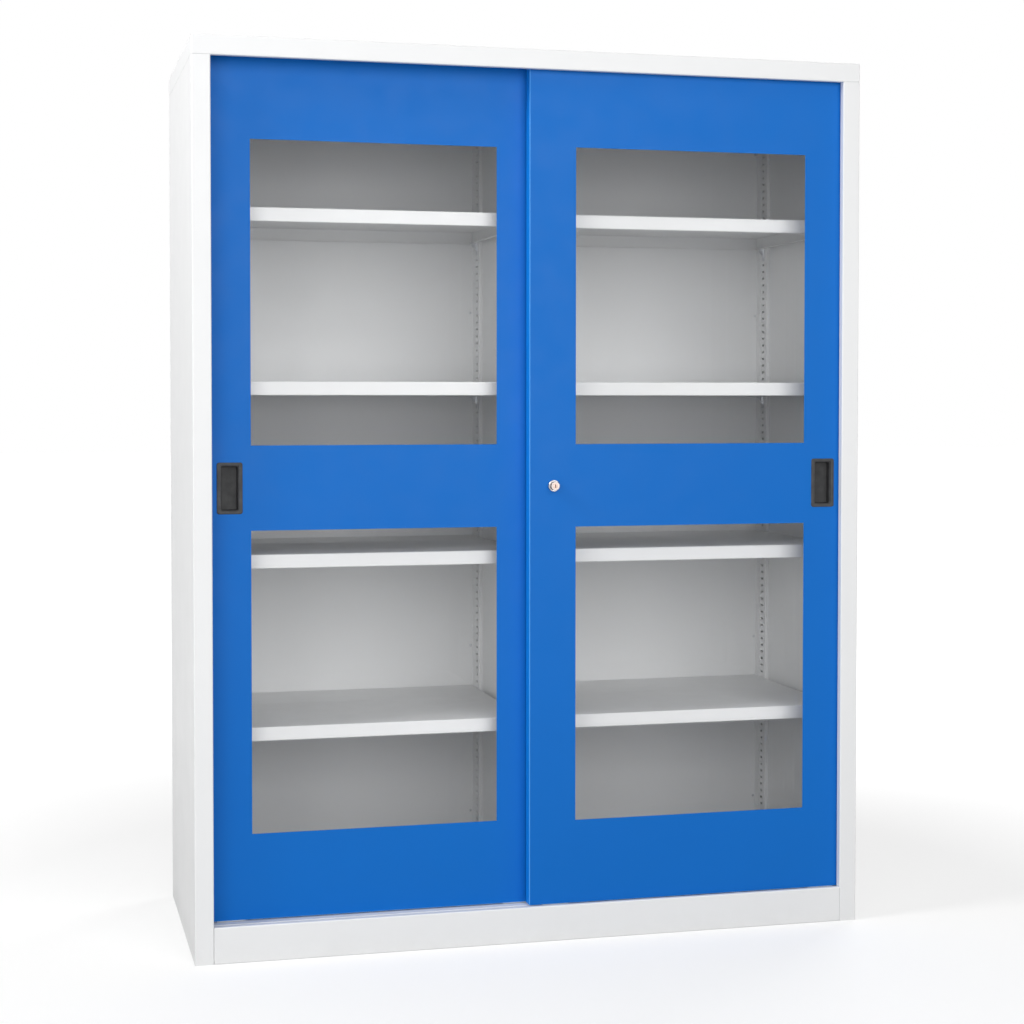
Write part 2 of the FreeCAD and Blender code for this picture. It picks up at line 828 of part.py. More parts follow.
def hanger(x, face):
    """Return one hanger: an upright plate with a foot on the door."""
    plate_front = face + hanger_face_gap
    outline = [
        (plate_front + hanger_foot, door_top),
        (plate_front, door_top),
        (plate_front, ceiling - hanger_top_gap),
    ]
    start = x - hanger_width / 2
    plate = bent_sheet(outline, hanger_sheet, hanger_bend, -1, "YZ", start, start + hanger_width)
    cuts = [rod(axle_radius, (x, face, axle_z), (x, plate_front + 2 * hanger_sheet, axle_z))]
    for screw_x in (x - door_screw_spread, x + door_screw_spread):
        cuts.append(door_screw(screw_x, face, screw_play))
    return plate.cut(Part.makeCompound(cuts))


def door_screw(x, face, play):
    """Return one countersunk hanger screw, made larger by the play."""
    y = face + door_screw_plane
    top = door_top + hanger_sheet
    neck = top - door_screw_sink
    head = cone(door_screw_radius + play, door_screw_head + play, (x, y, neck), (x, y, top))
    shank = rod(door_screw_radius + play, (x, y, top - door_screw_length), (x, y, neck))
    return fused([head, shank])


def door_nut(x, face):
    """Return the nut of one hanger screw, under the door's upper fold."""
    y = face + door_screw_plane
    top = door_top - door_sheet
    body = hexagon(door_nut_width, (x, y, top - door_nut_height), (x, y, top))
    bore = rod(door_screw_radius + screw_play, (x, y, top - door_nut_height), (x, y, top))
    return body.cut(bore)


def axle(x, face):
    """Return one roller's axle, riveted to its hanger."""
    plate_front = face + hanger_face_gap
    plate_rear = plate_front + hanger_sheet
    roller_front = face + hanging_plane - roller_width / 2
    roller_rear = roller_front + roller_width
    head_front = roller_rear + axle_side_gap
    shoulder = rod(axle_shoulder_radius, (x, plate_rear, axle_z), (x, roller_front - axle_side_gap, axle_z))
    tail = rod(axle_shoulder_radius, (x, plate_front - axle_head, axle_z), (x, plate_front, axle_z))
    pin = rod(axle_radius, (x, plate_front, axle_z), (x, head_front, axle_z))
    head = rod(axle_shoulder_radius, (x, head_front, axle_z), (x, head_front + axle_head, axle_z))
    return fused([tail, pin, shoulder, head])


def roller(x, face):
    """Return one grooved roller."""
    bore = axle_radius + axle_play
    half = roller_width / 2
    groove = roller_groove_width / 2
    profile = [
        (bore, -half),
        (roller_radius - roller_chamfer, -half),
        (roller_radius, -half + roller_chamfer),
        (roller_radius, -groove - roller_flare),
        (roller_groove_radius, -groove),
        (roller_groove_radius, groove),
        (roller_radius, groove + roller_flare),
        (roller_radius, half - roller_chamfer),
        (roller_radius - roller_chamfer, half),
        (bore, half),
        (bore, -half),
    ]
    section = Part.Face(Part.makePolygon([Vec(a, b, 0) for a, b in profile]))
    wheel = section.revolve(Vec(0, 0, 0), Vec(0, 1, 0), 360)
    wheel.translate(Vec(x, face + hanging_plane, axle_z))
    return wheel


def door_guide(x, face):
    """Return one guide under a door: a plate with a blade in the rail's groove."""
    middle = face + hanging_plane
    start = x - guide_length / 2
    end = x + guide_length / 2
    plate_low = (start, middle - guide_plate_width / 2, door_bottom - guide_plate)
    plate_high = (end, middle + guide_plate_width / 2, door_bottom)
    blade_low = (start, middle - guide_blade / 2, rail_top - groove_depth + guide_floor_gap)
    blade_high = (end, middle + guide_blade / 2, door_bottom)
    return fused([block(plate_low, plate_high), block(blade_low, blade_high)])


def door_buffers(edge_x, face, end_gap, direction):
    """Return the two buffers on a door's outer edge."""
    y = face + door_thickness / 2
    tip = edge_x + direction * (end_gap - buffer_clearance)
    neck = tip - direction * buffer_chamfer
    buffers = []
    for z in (door_bottom + buffer_inset, door_top - buffer_inset):
        body = rod(buffer_radius, (edge_x, y, z), (neck, y, z))
        nose = cone(buffer_radius, buffer_radius - buffer_chamfer, (neck, y, z), (tip, y, z))
        buffers.append(fused([body, nose]))
    return buffers


# ---- Upper track ----

def upper_track():
    """Return the double track: one plate with two hooked profiles."""
    reach = wall_x - track_end_gap
    low = (-reach, front + track_front, ceiling - track_sheet)
    high = (reach, doors_rear + track_rear_margin, ceiling)
    profiles = [block(low, high)]
    for face in (right_door_face, left_door_face):
        web_rear = face + track_web_offset
        blade_front = face + hanging_plane - track_sheet / 2
        outline = [
            (web_rear, ceiling),
            (web_rear, track_bottom),
            (blade_front, track_bottom),
            (blade_front, blade_top),
        ]
        profiles.append(bent_sheet(outline, track_sheet, track_bend, -1, "YZ", -reach, reach))
    return fused(profiles)


def track_stops(door_x, face, direction):
    """Return the two end stops of one door, whose rollers travel in the direction."""
    places = hanger_places(door_x)
    reach = roller_radius + stop_gap
    travel = direction * door_travel
    low_end = min(places) + min(travel, 0) - reach
    high_end = max(places) + max(travel, 0) + reach
    web_front = face + track_web_offset - track_sheet
    base = track_bottom + track_bend
    stops = []
    for start in (low_end - stop_length, high_end):
        low = (start, web_front - stop_width, base)
        high = (start + stop_length, web_front, base + stop_height)
        stops.append(block(low, high))
    return stops


# ---- Lock ----

def lock_rod(radius, near, far):
    """Return a round rod on the lock's axis."""
    return rod(radius, (lock_x, near, lock_z), (lock_x, far, lock_z))


def lock_housing():
    """Return the lock's housing: a collar in front of the door and a body behind its face."""
    collar = lock_rod(collar_radius, collar_front, right_door_face)
    collar = collar.makeChamfer(collar_chamfer, [collar.Edges[2]])
    body_end = right_door_face + lock_body_length
    body = lock_rod(lock_body_radius, right_door_face, body_end)
    bore = lock_rod(plunger_radius + running_play, collar_front - collar_height, lock_bore_end)
    rear_hole = lock_rod(bolt_radius + running_play, lock_bore_end, body_end)
    return fused([collar, body]).cut(bore).cut(rear_hole)


def lock_nut():
    """Return the nut behind the door's face that holds the housing."""
    near = right_door_face + door_sheet
    far = near + lock_nut_height
    body = hexagon(lock_nut_width, (lock_x, near, lock_z), (lock_x, far, lock_z))
    return body.cut(lock_rod(lock_body_radius, near, far))


def lock_plunger():
    """Return the lock's push cylinder with its bolt."""
    body = lock_rod(plunger_radius, plunger_front, plunger_rear)
    body = body.makeChamfer(plunger_chamfer, [body.Edges[2]])
    bolt = lock_rod(bolt_radius, plunger_rear, bolt_tip)
    seat = plunger_front - plug_proud + plug_length + plug_end_play
    bore = lock_rod(plug_radius + running_play, plunger_front - plug_proud, seat)
    return fused([body, bolt]).cut(bore)


def key_plug():
    """Return the lock's key plug with its slot."""
    near = plunger_front - plug_proud
    plug = lock_rod(plug_radius, near, near + plug_length)
    low = (lock_x - key_slot_width / 2, near, lock_z - key_slot_length / 2)
    high = (lock_x + key_slot_width / 2, near + key_slot_depth, lock_z + key_slot_length / 2)
    return plug.cut(block(low, high))


def lock_spring():
    """Return the coil spring behind the lock's push cylinder."""
    near = plunger_rear + spring_wire / 2 + running_play
    far = lock_bore_end - spring_wire / 2 - running_play
    coil = Part.makeHelix((far - near) / spring_turns, far - near, spring_coil)
    start = Part.makeCircle(spring_wire / 2, Vec(spring_coil, 0, 0), Vec(0, 1, 0))
    wire = Part.Wire(coil).makePipeShell([Part.Wire(start)], True, True)
    wire.Placement = FreeCAD.Placement(
        Vec(lock_x, near, lock_z),
        FreeCAD.Rotation(Vec(1, 0, 0), -90),
    )
    return wire


def lock_keeper():
    """Return the angle on the left door's edge that the bolt enters."""
    edge_x = left_door_x + door_width
    near = left_door_face + keeper_face_gap
    outline = [
        (edge_x + keeper_reach, near),
        (edge_x, near),
        (edge_x, near + keeper_leg),
    ]
    start = lock_z - keeper_height / 2
    angle = bent_sheet(outline, keeper_sheet, keeper_bend, -1, "XY", start, start + keeper_height)
    return angle.cut(lock_rod(keeper_hole, near - keeper_sheet, near + 2 * keeper_sheet))


# ---- All nodes ----

def save_body():
    """Write the nodes of the cabinet's body."""
    cap_places = cap_screw_places()
    track_places = track_screw_places()
    rivets = rivet_places()
    hole = body_screw_radius + screw_play
    ledge_base = cap_base - body_sheet
    seam_holes = upright_holes(cap_places, hole, ledge_base, cap_base + body_sheet)
    roof_holes = upright_holes(track_places, hole, ceiling - track_sheet, overall_height)
    tails = rivet_holes(rivets)
    side = drilled(side_panel(), seam_holes + tails)
    save("right_side_panel", side)
    save("left_side_panel", [mirrored(piece) for piece in side])
    save("cap", drilled(cap(), seam_holes + roof_holes))
    save("cap_stiffener", drilled([cap_stiffener()], seam_holes))
    save("plinth_front", [plinth_front()])
    save("lower_guide_rail", [lower_guide_rail()])
    save("floor_panel", floor_panel())
    back = drilled(rear_panel(), tails)
    save("right_rear_panel", back)
    save("left_rear_panel", [mirrored(piece) for piece in back])
    save("centre_partition", drilled(centre_partition(), seam_holes + tails))
    save("rear_rivets", [rear_rivet(place) for place in rivets])
    seat = cap_base - body_sheet
    save("cap_screws", [body_screw(place, seat, cap_base + cap_screw_tip) for place in cap_places])
    save("upper_track", drilled([upper_track()], roof_holes))
    seat = ceiling - track_sheet
    tip = overall_height - body_screw_sunk
    save("track_screws", [body_screw(place, seat, tip) for place in track_places])
    stops = track_stops(right_door_x, right_door_face, -1)
    stops += track_stops(left_door_x, left_door_face, 1)
    save("track_stops", stops)


def save_bays():
    """Write the nodes of both bays."""
    strips = in_bay(support_strip())
    save("right_bay_strips", strips)
    save("left_bay_strips", [mirrored(strip) for strip in strips])
    clips = []
    for level in range(shelf_count):
        rise = level * holes_per_level * hole_pitch
        clips += in_bay(moved(shelf_clip(), 0, 0, rise))
    save("right_bay_clips", clips)
    save("left_bay_clips", [mirrored(clip) for clip in clips])
    for level in range(shelf_count):
        tray = shelf(level)
        save("right_bay_shelf_" + str(level + 1), [tray])
        save("left_bay_shelf_" + str(level + 1), [mirrored(tray)])


def save_door(side, door_x, face, grip_x):
    """Write the nodes that both doors have."""
    skin = door_skin(door_x, face, grip_x)
    if side == "right":
        hole = lock_rod(lock_body_radius + lock_play, face - door_sheet, face + 2 * door_sheet)
        skin = skin.cut(hole)
    save(side + "_door_skin", [skin])
    save(side + "_door_ribs", door_ribs(door_x, face, grip_x))
    for level, base in zip(("lower", "upper"), window_bases()):
        save(side + "_door_" + level + "_pane", [pane(door_x, face, base)])
    save(side + "_door_pane_frames", [pane_frame(door_x, face, base) for base in window_bases()])
    save(side + "_door_grip", [grip(grip_x, face)])
    places = hanger_places(door_x)
    screws = door_screw_places(door_x)
    save(side + "_door_hangers", [hanger(x, face) for x in places])
    fasteners = [door_screw(x, face, 0) for x in screws] + [door_nut(x, face) for x in screws]
    save(side + "_door_screws", fasteners)
    save(side + "_door_axles", [axle(x, face) for x in places])
    for number, x in enumerate(places):
        save(side + "_door_roller_" + str(number + 1), [roller(x, face)])
    save(side + "_door_guides", [door_guide(x, face) for x in places])


def save_lock():
    """Write the nodes of the lock and its keeper."""
    save("lock_housing", [lock_housing()])
    save("lock_nut", [lock_nut()])
    save("lock_plunger", [lock_plunger()])
    save("lock_key_plug", [key_plug()])
    save("lock_spring", [lock_spring()])
    save("lock_keeper", [lock_keeper()])


os.makedirs("parts", exist_ok=True)
save_body()
save_bays()
save_door("right", right_door_x, right_door_face, right_grip_x)
save_door("left", left_door_x, left_door_face, left_grip_x)
right_edge = right_door_x + door_width
save("right_door_buffers", door_buffers(right_edge, right_door_face, right_door_end_gap, 1))
save("left_door_buffers", door_buffers(left_door_x, left_door_face, left_door_end_gap, -1))
save_lock()
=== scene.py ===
import math

import bmesh
import bpy
from bpy.props import FloatProperty, FloatVectorProperty, IntProperty, PointerProperty
from mathutils import Matrix, Vector


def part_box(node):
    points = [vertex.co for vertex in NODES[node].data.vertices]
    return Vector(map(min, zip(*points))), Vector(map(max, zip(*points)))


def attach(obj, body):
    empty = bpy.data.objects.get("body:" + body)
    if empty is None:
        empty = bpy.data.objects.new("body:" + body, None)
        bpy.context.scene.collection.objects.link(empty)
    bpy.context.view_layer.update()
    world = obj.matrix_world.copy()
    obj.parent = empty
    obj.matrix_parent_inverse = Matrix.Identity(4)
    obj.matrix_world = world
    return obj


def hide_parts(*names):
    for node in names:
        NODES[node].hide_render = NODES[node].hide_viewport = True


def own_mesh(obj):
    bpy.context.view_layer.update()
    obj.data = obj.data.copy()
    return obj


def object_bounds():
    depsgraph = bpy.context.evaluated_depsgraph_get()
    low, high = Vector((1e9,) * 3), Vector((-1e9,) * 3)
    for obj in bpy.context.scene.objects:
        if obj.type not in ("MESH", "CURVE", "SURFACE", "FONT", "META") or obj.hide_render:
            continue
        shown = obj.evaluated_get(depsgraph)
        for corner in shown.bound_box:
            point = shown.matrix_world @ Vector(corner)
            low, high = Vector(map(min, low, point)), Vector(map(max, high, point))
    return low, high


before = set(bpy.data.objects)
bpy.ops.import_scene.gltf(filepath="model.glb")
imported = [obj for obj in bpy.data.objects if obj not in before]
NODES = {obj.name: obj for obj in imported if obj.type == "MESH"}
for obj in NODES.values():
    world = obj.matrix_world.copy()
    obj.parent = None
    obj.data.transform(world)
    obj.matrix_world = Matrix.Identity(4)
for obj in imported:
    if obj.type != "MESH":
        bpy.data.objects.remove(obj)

bl_info = {
    "name": "Sliding Door Cabinet",
    "version": (1, 0, 0),
    "blender": (4, 5, 0),
    "location": "3D View > Sidebar > Cabinet",
    "description": "Finishes and fine pieces of a steel cabinet with two glazed sliding doors",
    "category": "Object",
}

CAD_BOX = [list(corner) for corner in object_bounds()]
SIDES = ("left", "right")
QUARTER = [math.radians(90 * step / 4) for step in range(5)]    # the angles of a quarter round
WHITE = (1.0, 1.0, 1.0, 1.0)


# ---- Small helpers ----

def make_object(name, data):
    """Link a mesh, lamp or camera to the scene as an object at the origin."""
    holder = bpy.data.objects.new(name, data)
    bpy.context.scene.collection.objects.link(holder)
    return holder


def mesh_from(name, build):
    """Return a mesh made by a function that fills a bmesh."""
    shape = bmesh.new()
    build(shape)
    bmesh.ops.recalc_face_normals(shape, faces=shape.faces)
    mesh = bpy.data.meshes.new(name)
    shape.to_mesh(mesh)
    shape.free()
    return mesh


def smooth_by_angle(mesh, degrees):
    """Shade a mesh smoothly, but for its edges sharper than the angle."""
    mesh.shade_smooth()
    mesh.set_sharp_from_angle(angle=math.radians(degrees))


def ring_of(shape, height, reaches):
    """Return a level ring of vertices, from pairs of an angle and a distance from Z."""
    ring = []
    for angle, reach in reaches:
        ring.append(shape.verts.new((reach * math.cos(angle), reach * math.sin(angle), height)))
    return ring


def join_rings(shape, rings):
    """Bridge each ring of vertices with the next one. A ring of one vertex is a pole."""
    for first, second in zip(rings, rings[1:]):
        count = max(len(first), len(second))
        for index in range(count):
            after = (index + 1) % count
            if len(first) == 1:
                shape.faces.new((first[0], second[index], second[after]))
            elif len(second) == 1:
                shape.faces.new((first[index], first[after], second[0]))
            else:
                shape.faces.new((first[index], first[after], second[after], second[index]))


def rounded_rectangle(shape, centre, width, height, radius, y, steps=5):
    """Return a ring of vertices: an upright rectangle with rounded corners."""
    ring = []
    corners = ((1, 1, 0), (-1, 1, 90), (-1, -1, 180), (1, -1, 270))
    for side_x, side_z, start in corners:
        x = centre.x + side_x * (width / 2 - radius)
        z = centre.z + side_z * (height / 2 - radius)
        for step in range(steps + 1):
            angle = math.radians(start + 90 * step / steps)
            corner = (x + radius * math.cos(angle), y, z + radius * math.sin(angle))
            ring.append(shape.verts.new(corner))
    return ring


# ---- Nodes of shaders and geometry trees ----

def plug(tree, value, socket):
    """Give an input its value, or link it where the value is a socket."""
    if isinstance(value, bpy.types.NodeSocket):
        tree.links.new(value, socket)
    else:
        socket.default_value = value


def add_node(tree, kind, **inputs):
    """Add a node and give its inputs their values, which may be sockets."""
    node = tree.nodes.new(kind)
    for label, value in inputs.items():
        plug(tree, value, node.inputs[label.replace("_", " ")])
    return node


def noise(tree, vector, scale, detail, roughness=0.5):
    """Add a noise texture and return its value."""
    texture = add_node(
        tree, "ShaderNodeTexNoise", Vector=vector, Scale=scale, Detail=detail, Roughness=roughness
    )
    return texture.outputs["Fac"]


def remap(tree, value, low, high, to_low, to_high):
    """Move a value from one range to another, cut off at its ends."""
    ends = {"From_Min": low, "From_Max": high, "To_Min": to_low, "To_Max": to_high}
    return add_node(tree, "ShaderNodeMapRange", Value=value, **ends).outputs["Result"]


def spread(tree, value, low, high):
    """Spread the range that a noise mostly keeps to between two ends."""
    return remap(tree, value, 0.3, 0.7, low, high)


def arithmetic(tree, kind, result, *others):
    """Combine values with one Math node after the other."""
    for other in others:
        node = tree.nodes.new("ShaderNodeMath")
        node.operation = kind
        plug(tree, result, node.inputs[0])
        plug(tree, other, node.inputs[1])
        result = node.outputs["Value"]
    return result


def vector_maths(tree, kind, *vectors):
    """Add a Vector Math node and return its outputs."""
    node = tree.nodes.new("ShaderNodeVectorMath")
    node.operation = kind
    for vector, socket in zip(vectors, node.inputs):
        tree.links.new(vector, socket)
    return node.outputs


def face_normal(tree):
    """Return the direction that a surface faces."""
    return tree.nodes.new("ShaderNodeNewGeometry").outputs["Normal"]


def squareness(tree):
    """Return how far a surface faces along X, Y and Z, either way."""
    bare = vector_maths(tree, "ABSOLUTE", face_normal(tree))["Vector"]
    return add_node(tree, "ShaderNodeSeparateXYZ", Vector=bare).outputs


def blend_colours(tree, factor, first, second, kind="MIX"):
    """Blend two colours and return the result."""
    node = tree.nodes.new("ShaderNodeMix")
    node.data_type = "RGBA"
    node.blend_type = kind
    for index, value in ((0, factor), (6, first), (7, second)):
        plug(tree, value, node.inputs[index])
    return node.outputs[2]


# ---- Shader groups ----

def powder_coat(tree, given):
    """Textured powder coat: orange peel, faint mottling and gloss changes."""
    vector, paint = given["Vector"], given["Paint"]
    peel = noise(tree, vector, scale=given["Peel Scale"], detail=2.0)
    waves = noise(tree, vector, scale=55.0, detail=2.0)
    clouds = noise(tree, vector, scale=2.3, detail=4.0)
    patches = noise(tree, vector, scale=17.0, detail=3.0)
    darker = blend_colours(tree, 1.0, paint, (0.55, 0.56, 0.58, 1), "MULTIPLY")
    fine = arithmetic(tree, "MULTIPLY", peel, 0.7)
    broad = arithmetic(tree, "MULTIPLY", waves, 0.3)
    return {
        "Colour": blend_colours(tree, spread(tree, clouds, 0.0, given["Mottle"]), paint, darker),
        "Roughness": spread(tree, patches, given["Gloss Low"], given["Gloss High"]),
        "Height": arithmetic(tree, "ADD", fine, broad),
    }


def settled_dust(tree, given):
    """Thin dust on what faces up and near the floor."""
    normal = add_node(tree, "ShaderNodeSeparateXYZ", Vector=face_normal(tree)).outputs
    place = add_node(tree, "ShaderNodeSeparateXYZ", Vector=given["Vector"]).outputs
    flat = remap(tree, normal["Z"], 0.75, 1.0, 0.0, 1.0)
    skirt = remap(tree, place["Z"], 0.0, given["Skirt Height"], 0.8, 0.0)
    speckle = noise(tree, given["Vector"], scale=38.0, detail=5.0, roughness=0.65)
    streaks = remap(tree, speckle, 0.35, 0.75, 0.25, 1.0)
    where = arithmetic(tree, "MAXIMUM", flat, skirt)
    mask = arithmetic(tree, "MULTIPLY", where, streaks, given["Amount"])
    return {"Colour": blend_colours(tree, mask, given["Colour"], given["Dust"]), "Mask": mask}


def painted_bend_highlight(tree, given):
    """Painted highlight: the round of each bend is painted paler, standing for the light that it
    catches.
    """
    axes = squareness(tree)
    squarest = arithmetic(tree, "MAXIMUM", axes["X"], axes["Y"], axes["Z"])
    turned = remap(tree, squarest, 0.985, 0.85, 0.0, 1.0)
    uneven = spread(tree, noise(tree, given["Vector"], scale=30.0, detail=3.0), 0.7, 1.0)
    return {"Mask": arithmetic(tree, "MULTIPLY", turned, uneven, given["Amount"])}


def edge_wear(tree, given):
    """Edges, broken up as handling wears them."""
    softened = add_node(tree, "ShaderNodeBevel", Radius=given["Radius"])
    softened.samples = 4
    alike = vector_maths(tree, "DOT_PRODUCT", softened.outputs["Normal"], face_normal(tree))["Value"]
    edge = remap(tree, alike, 0.995, 0.85, 0.0, 1.0)
    chips = noise(tree, given["Vector"], scale=120.0, detail=5.0, roughness=0.7)
    broken = remap(tree, chips, 0.45, 0.62, 0.0, 1.0)
    return {"Mask": arithmetic(tree, "MULTIPLY", edge, broken, given["Amount"])}


def fine_grain(tree, given):
    """Spark-eroded plastic and rubber: a fine pebbled skin with rubbed spots."""
    vector = given["Vector"]
    pebbles = add_node(tree, "ShaderNodeTexVoronoi", Vector=vector, Scale=given["Grain Scale"])
    pebbles.feature = "SMOOTH_F1"
    patches = noise(tree, vector, scale=60.0, detail=4.0, roughness=0.6)
    rubbed = remap(tree, patches, 0.4, 0.7, 0.0, given["Rubbed"])
    return {
        "Colour": blend_colours(tree, rubbed, given["Colour"], (0.55, 0.55, 0.55, 1)),
        "Roughness": spread(tree, patches, given["Gloss High"], given["Gloss Low"]),
        "Height": pebbles.outputs["Distance"],
    }


def plating(tree, given):
    """Plated steel: soft crystal patches and rolling lines."""
    vector, metal = given["Vector"], given["Metal"]
    crystals = add_node(tree, "ShaderNodeTexVoronoi", Vector=vector, Scale=given["Patch Scale"])
    tone = add_node(tree, "ShaderNodeSeparateColor", Color=crystals.outputs["Color"]).outputs
    stretched = add_node(tree, "ShaderNodeMapping", Vector=vector, Scale=(3.0, 400.0, 400.0))
    shade = remap(tree, tone["Red"], 0.0, 1.0, 0.0, given["Contrast"])
    darker = blend_colours(tree, 1.0, metal, (0.6, 0.61, 0.63, 1), "MULTIPLY")
    return {
        "Colour": blend_colours(tree, shade, metal, darker),
        "Roughness": remap(tree, tone["Green"], 0.0, 1.0, given["Gloss Low"], given["Gloss High"]),
        "Height": noise(tree, stretched.outputs["Vector"], scale=1.0, detail=3.0),
    }


def painted_recess_shade(tree, given):
    """Painted shade: darker where a moulding's depth attribute says that it is deeply recessed,
    standing for the shade that falls in the well.
    """
    recessed = tree.nodes.new("ShaderNodeAttribute")
    recessed.attribute_name = "depth"
    below = remap(tree, recessed.outputs["Fac"], 0.60, 0.75, 0.0, 1.0)
    patches = noise(tree, given["Vector"], scale=90.0, detail=4.0, roughness=0.6)
    mask = arithmetic(tree, "MULTIPLY", below, spread(tree, patches, 0.75, 1.0), given["Amount"])
    return {"Colour": blend_colours(tree, mask, given["Colour"], given["Grime"])}


def painted_side_shading(tree, given):
    """Painted light and shade: a colour of their own for a piece's sides, beside its front and back,
    standing for the light or the dark that the sides catch.
    """
    flat = remap(tree, squareness(tree)["Y"], 0.8, 0.95, 0.0, 1.0)
    return {"Colour": blend_colours(tree, flat, given["Side"], given["Face"])}


GREY = (0.8, 0.8, 0.8, 1)
GROUPS = {
    "Powder Coat": (
        powder_coat,
        {"Paint": GREY, "Peel Scale": 700.0, "Mottle": 0.06, "Gloss Low": 0.38, "Gloss High": 0.5},
    ),
    "Settled Dust": (
        settled_dust,
        {"Colour": GREY, "Dust": (0.42, 0.40, 0.37, 1), "Amount": 0.2, "Skirt Height": 0.06},
    ),
    "Thin Bend": (painted_bend_highlight, {"Amount": 0.3}),
    "Edge Wear": (edge_wear, {"Radius": 0.002, "Amount": 0.5}),
    "Fine Grain": (
        fine_grain,
        {
            "Colour": (0.1, 0.1, 0.1, 1),
            "Grain Scale": 1400.0,
            "Rubbed": 0.15,
            "Gloss Low": 0.45,
            "Gloss High": 0.65,
        },
    ),
    "Plating": (
        plating,
        {
            "Metal": (0.7, 0.7, 0.72, 1),
            "Patch Scale": 90.0,
            "Contrast": 0.3,
            "Gloss Low": 0.25,
            "Gloss High": 0.42,
        },
    ),
    "Deep Grime": (
        painted_recess_shade,
        {"Colour": (0.1, 0.1, 0.1, 1), "Grime": (0.01, 0.01, 0.01, 1), "Amount": 0.5},
    ),
    "Turned Face": (painted_side_shading, {"Face": GREY, "Side": (0.2, 0.2, 0.2, 1)}),
}


def shader_group(name):
    """Return a shader group, which is built the first time it is asked for."""
    if name in bpy.data.node_groups:
        return bpy.data.node_groups[name]
    fill, inputs = GROUPS[name]
    tree = bpy.data.node_groups.new(name, "ShaderNodeTree")
    tree.interface.new_socket("Vector", in_out="INPUT", socket_type="NodeSocketVector")
    for label, value in inputs.items():
        kind = "NodeSocketColor" if isinstance(value, tuple) else "NodeSocketFloat"
        tree.interface.new_socket(label, in_out="INPUT", socket_type=kind).default_value = value
    results = fill(tree, tree.nodes.new("NodeGroupInput").outputs)
    for label in results:
        kind = "NodeSocketColor" if label == "Colour" else "NodeSocketFloat"
        tree.interface.new_socket(label, in_out="OUTPUT", socket_type=kind)
    add_node(tree, "NodeGroupOutput", **results)
    return tree


# ---- Materials ----

def with_alpha(colour):
    """Return a colour with full alpha."""
    return (colour[0], colour[1], colour[2], 1.0)


class Finish:
    """A material under construction: its tree, its shader and its object coordinates."""

    def __init__(self, name):
        self.material = bpy.data.materials.new(name)
        self.material.use_nodes = True
        self.tree = self.material.node_tree
        self.tree.nodes.clear()
        self.shader = self.tree.nodes.new("ShaderNodeBsdfPrincipled")
        add_node(self.tree, "ShaderNodeOutputMaterial", Surface=self.shader.outputs["BSDF"])
        self.place = self.tree.nodes.new("ShaderNodeTexCoord").outputs["Object"]

    def group(self, name, **values):
        """Place a shader group, give its inputs their values and return its outputs."""
        node = self.tree.nodes.new("ShaderNodeGroup")
        node.node_tree = shader_group(name)
        for label, value in {"Vector": self.place, **values}.items():
            plug(self.tree, value, node.inputs[label.replace("_", " ")])
        return node.outputs

    def with_painted_sides(self, colour, side):
        """Return a colour, with another one painted on the piece's sides as light or shade if that is
        given.
        """
        if side is None:
            return with_alpha(colour)
        return self.group("Turned Face", Face=with_alpha(colour), Side=with_alpha(side))["Colour"]

    def set(self, **values):
        """Give the shader's own sockets their values, which may be sockets."""
        for label, value in values.items():
            plug(self.tree, value, self.shader.inputs[label.replace("_", " ")])

    def bump(self, height, distance, strength):
        """Feed the shader's normal from a height in metres."""
        node = add_node(
            self.tree, "ShaderNodeBump", Height=height, Distance=distance, Strength=strength
        )
        self.set(Normal=node.outputs["Normal"])


def paint_finish(name, colour, mottle, gloss, shine, lit_folds=None, pale=None):
    """Return a powder coat with dust on its upper faces and light wear on its edges, and where asked
    painted light on its folded sides and a painted highlight along its bends.
    """
    paint = bpy.context.scene.cabinet_paint
    finish = Finish(name)
    coat = finish.group(
        "Powder Coat",
        Paint=finish.with_painted_sides(colour, lit_folds),
        Peel_Scale=paint.texture_scale,
        Mottle=mottle,
        Gloss_Low=gloss[0],
        Gloss_High=gloss[1],
    )
    rubbed = finish.group("Edge Wear", Radius=0.0018, Amount=paint.edge_wear)
    bright = tuple(min(1.0, channel * 1.25 + 0.05) for channel in colour)
    worn_and_highlit = blend_colours(finish.tree, rubbed["Mask"], coat["Colour"], with_alpha(bright))
    # Painted highlight: the bends are painted paler, where light would catch them.
    if pale is not None:
        highlit_bends = finish.group("Thin Bend", Amount=paint.bend_highlight)
        worn_and_highlit = blend_colours(finish.tree, highlit_bends["Mask"], worn_and_highlit, with_alpha(pale))
    dusty_and_painted_light = finish.group("Settled Dust", Colour=worn_and_highlit, Amount=paint.dust)
    finish.set(
        Base_Color=dusty_and_painted_light["Colour"],
        Roughness=arithmetic(finish.tree, "ADD", coat["Roughness"], dusty_and_painted_light["Mask"]),
        Specular_IOR_Level=shine,
    )
    finish.bump(coat["Height"], distance=0.00012, strength=0.55)
    return finish.material


def metal_finish(name, colour, patch, contrast, gloss, side=None):
    """Return a plated or polished metal."""
    finish = Finish(name)
    # A side colour, where given, is painted shade and dark reflection on the piece's sides.
    plate = finish.group(
        "Plating",
        Metal=finish.with_painted_sides(colour, side),
        Patch_Scale=patch,
        Contrast=contrast,
        Gloss_Low=gloss[0],
        Gloss_High=gloss[1],
    )
    finish.set(Base_Color=plate["Colour"], Roughness=plate["Roughness"], Metallic=1.0)
    finish.bump(plate["Height"], distance=0.00004, strength=0.4)
    return finish.material


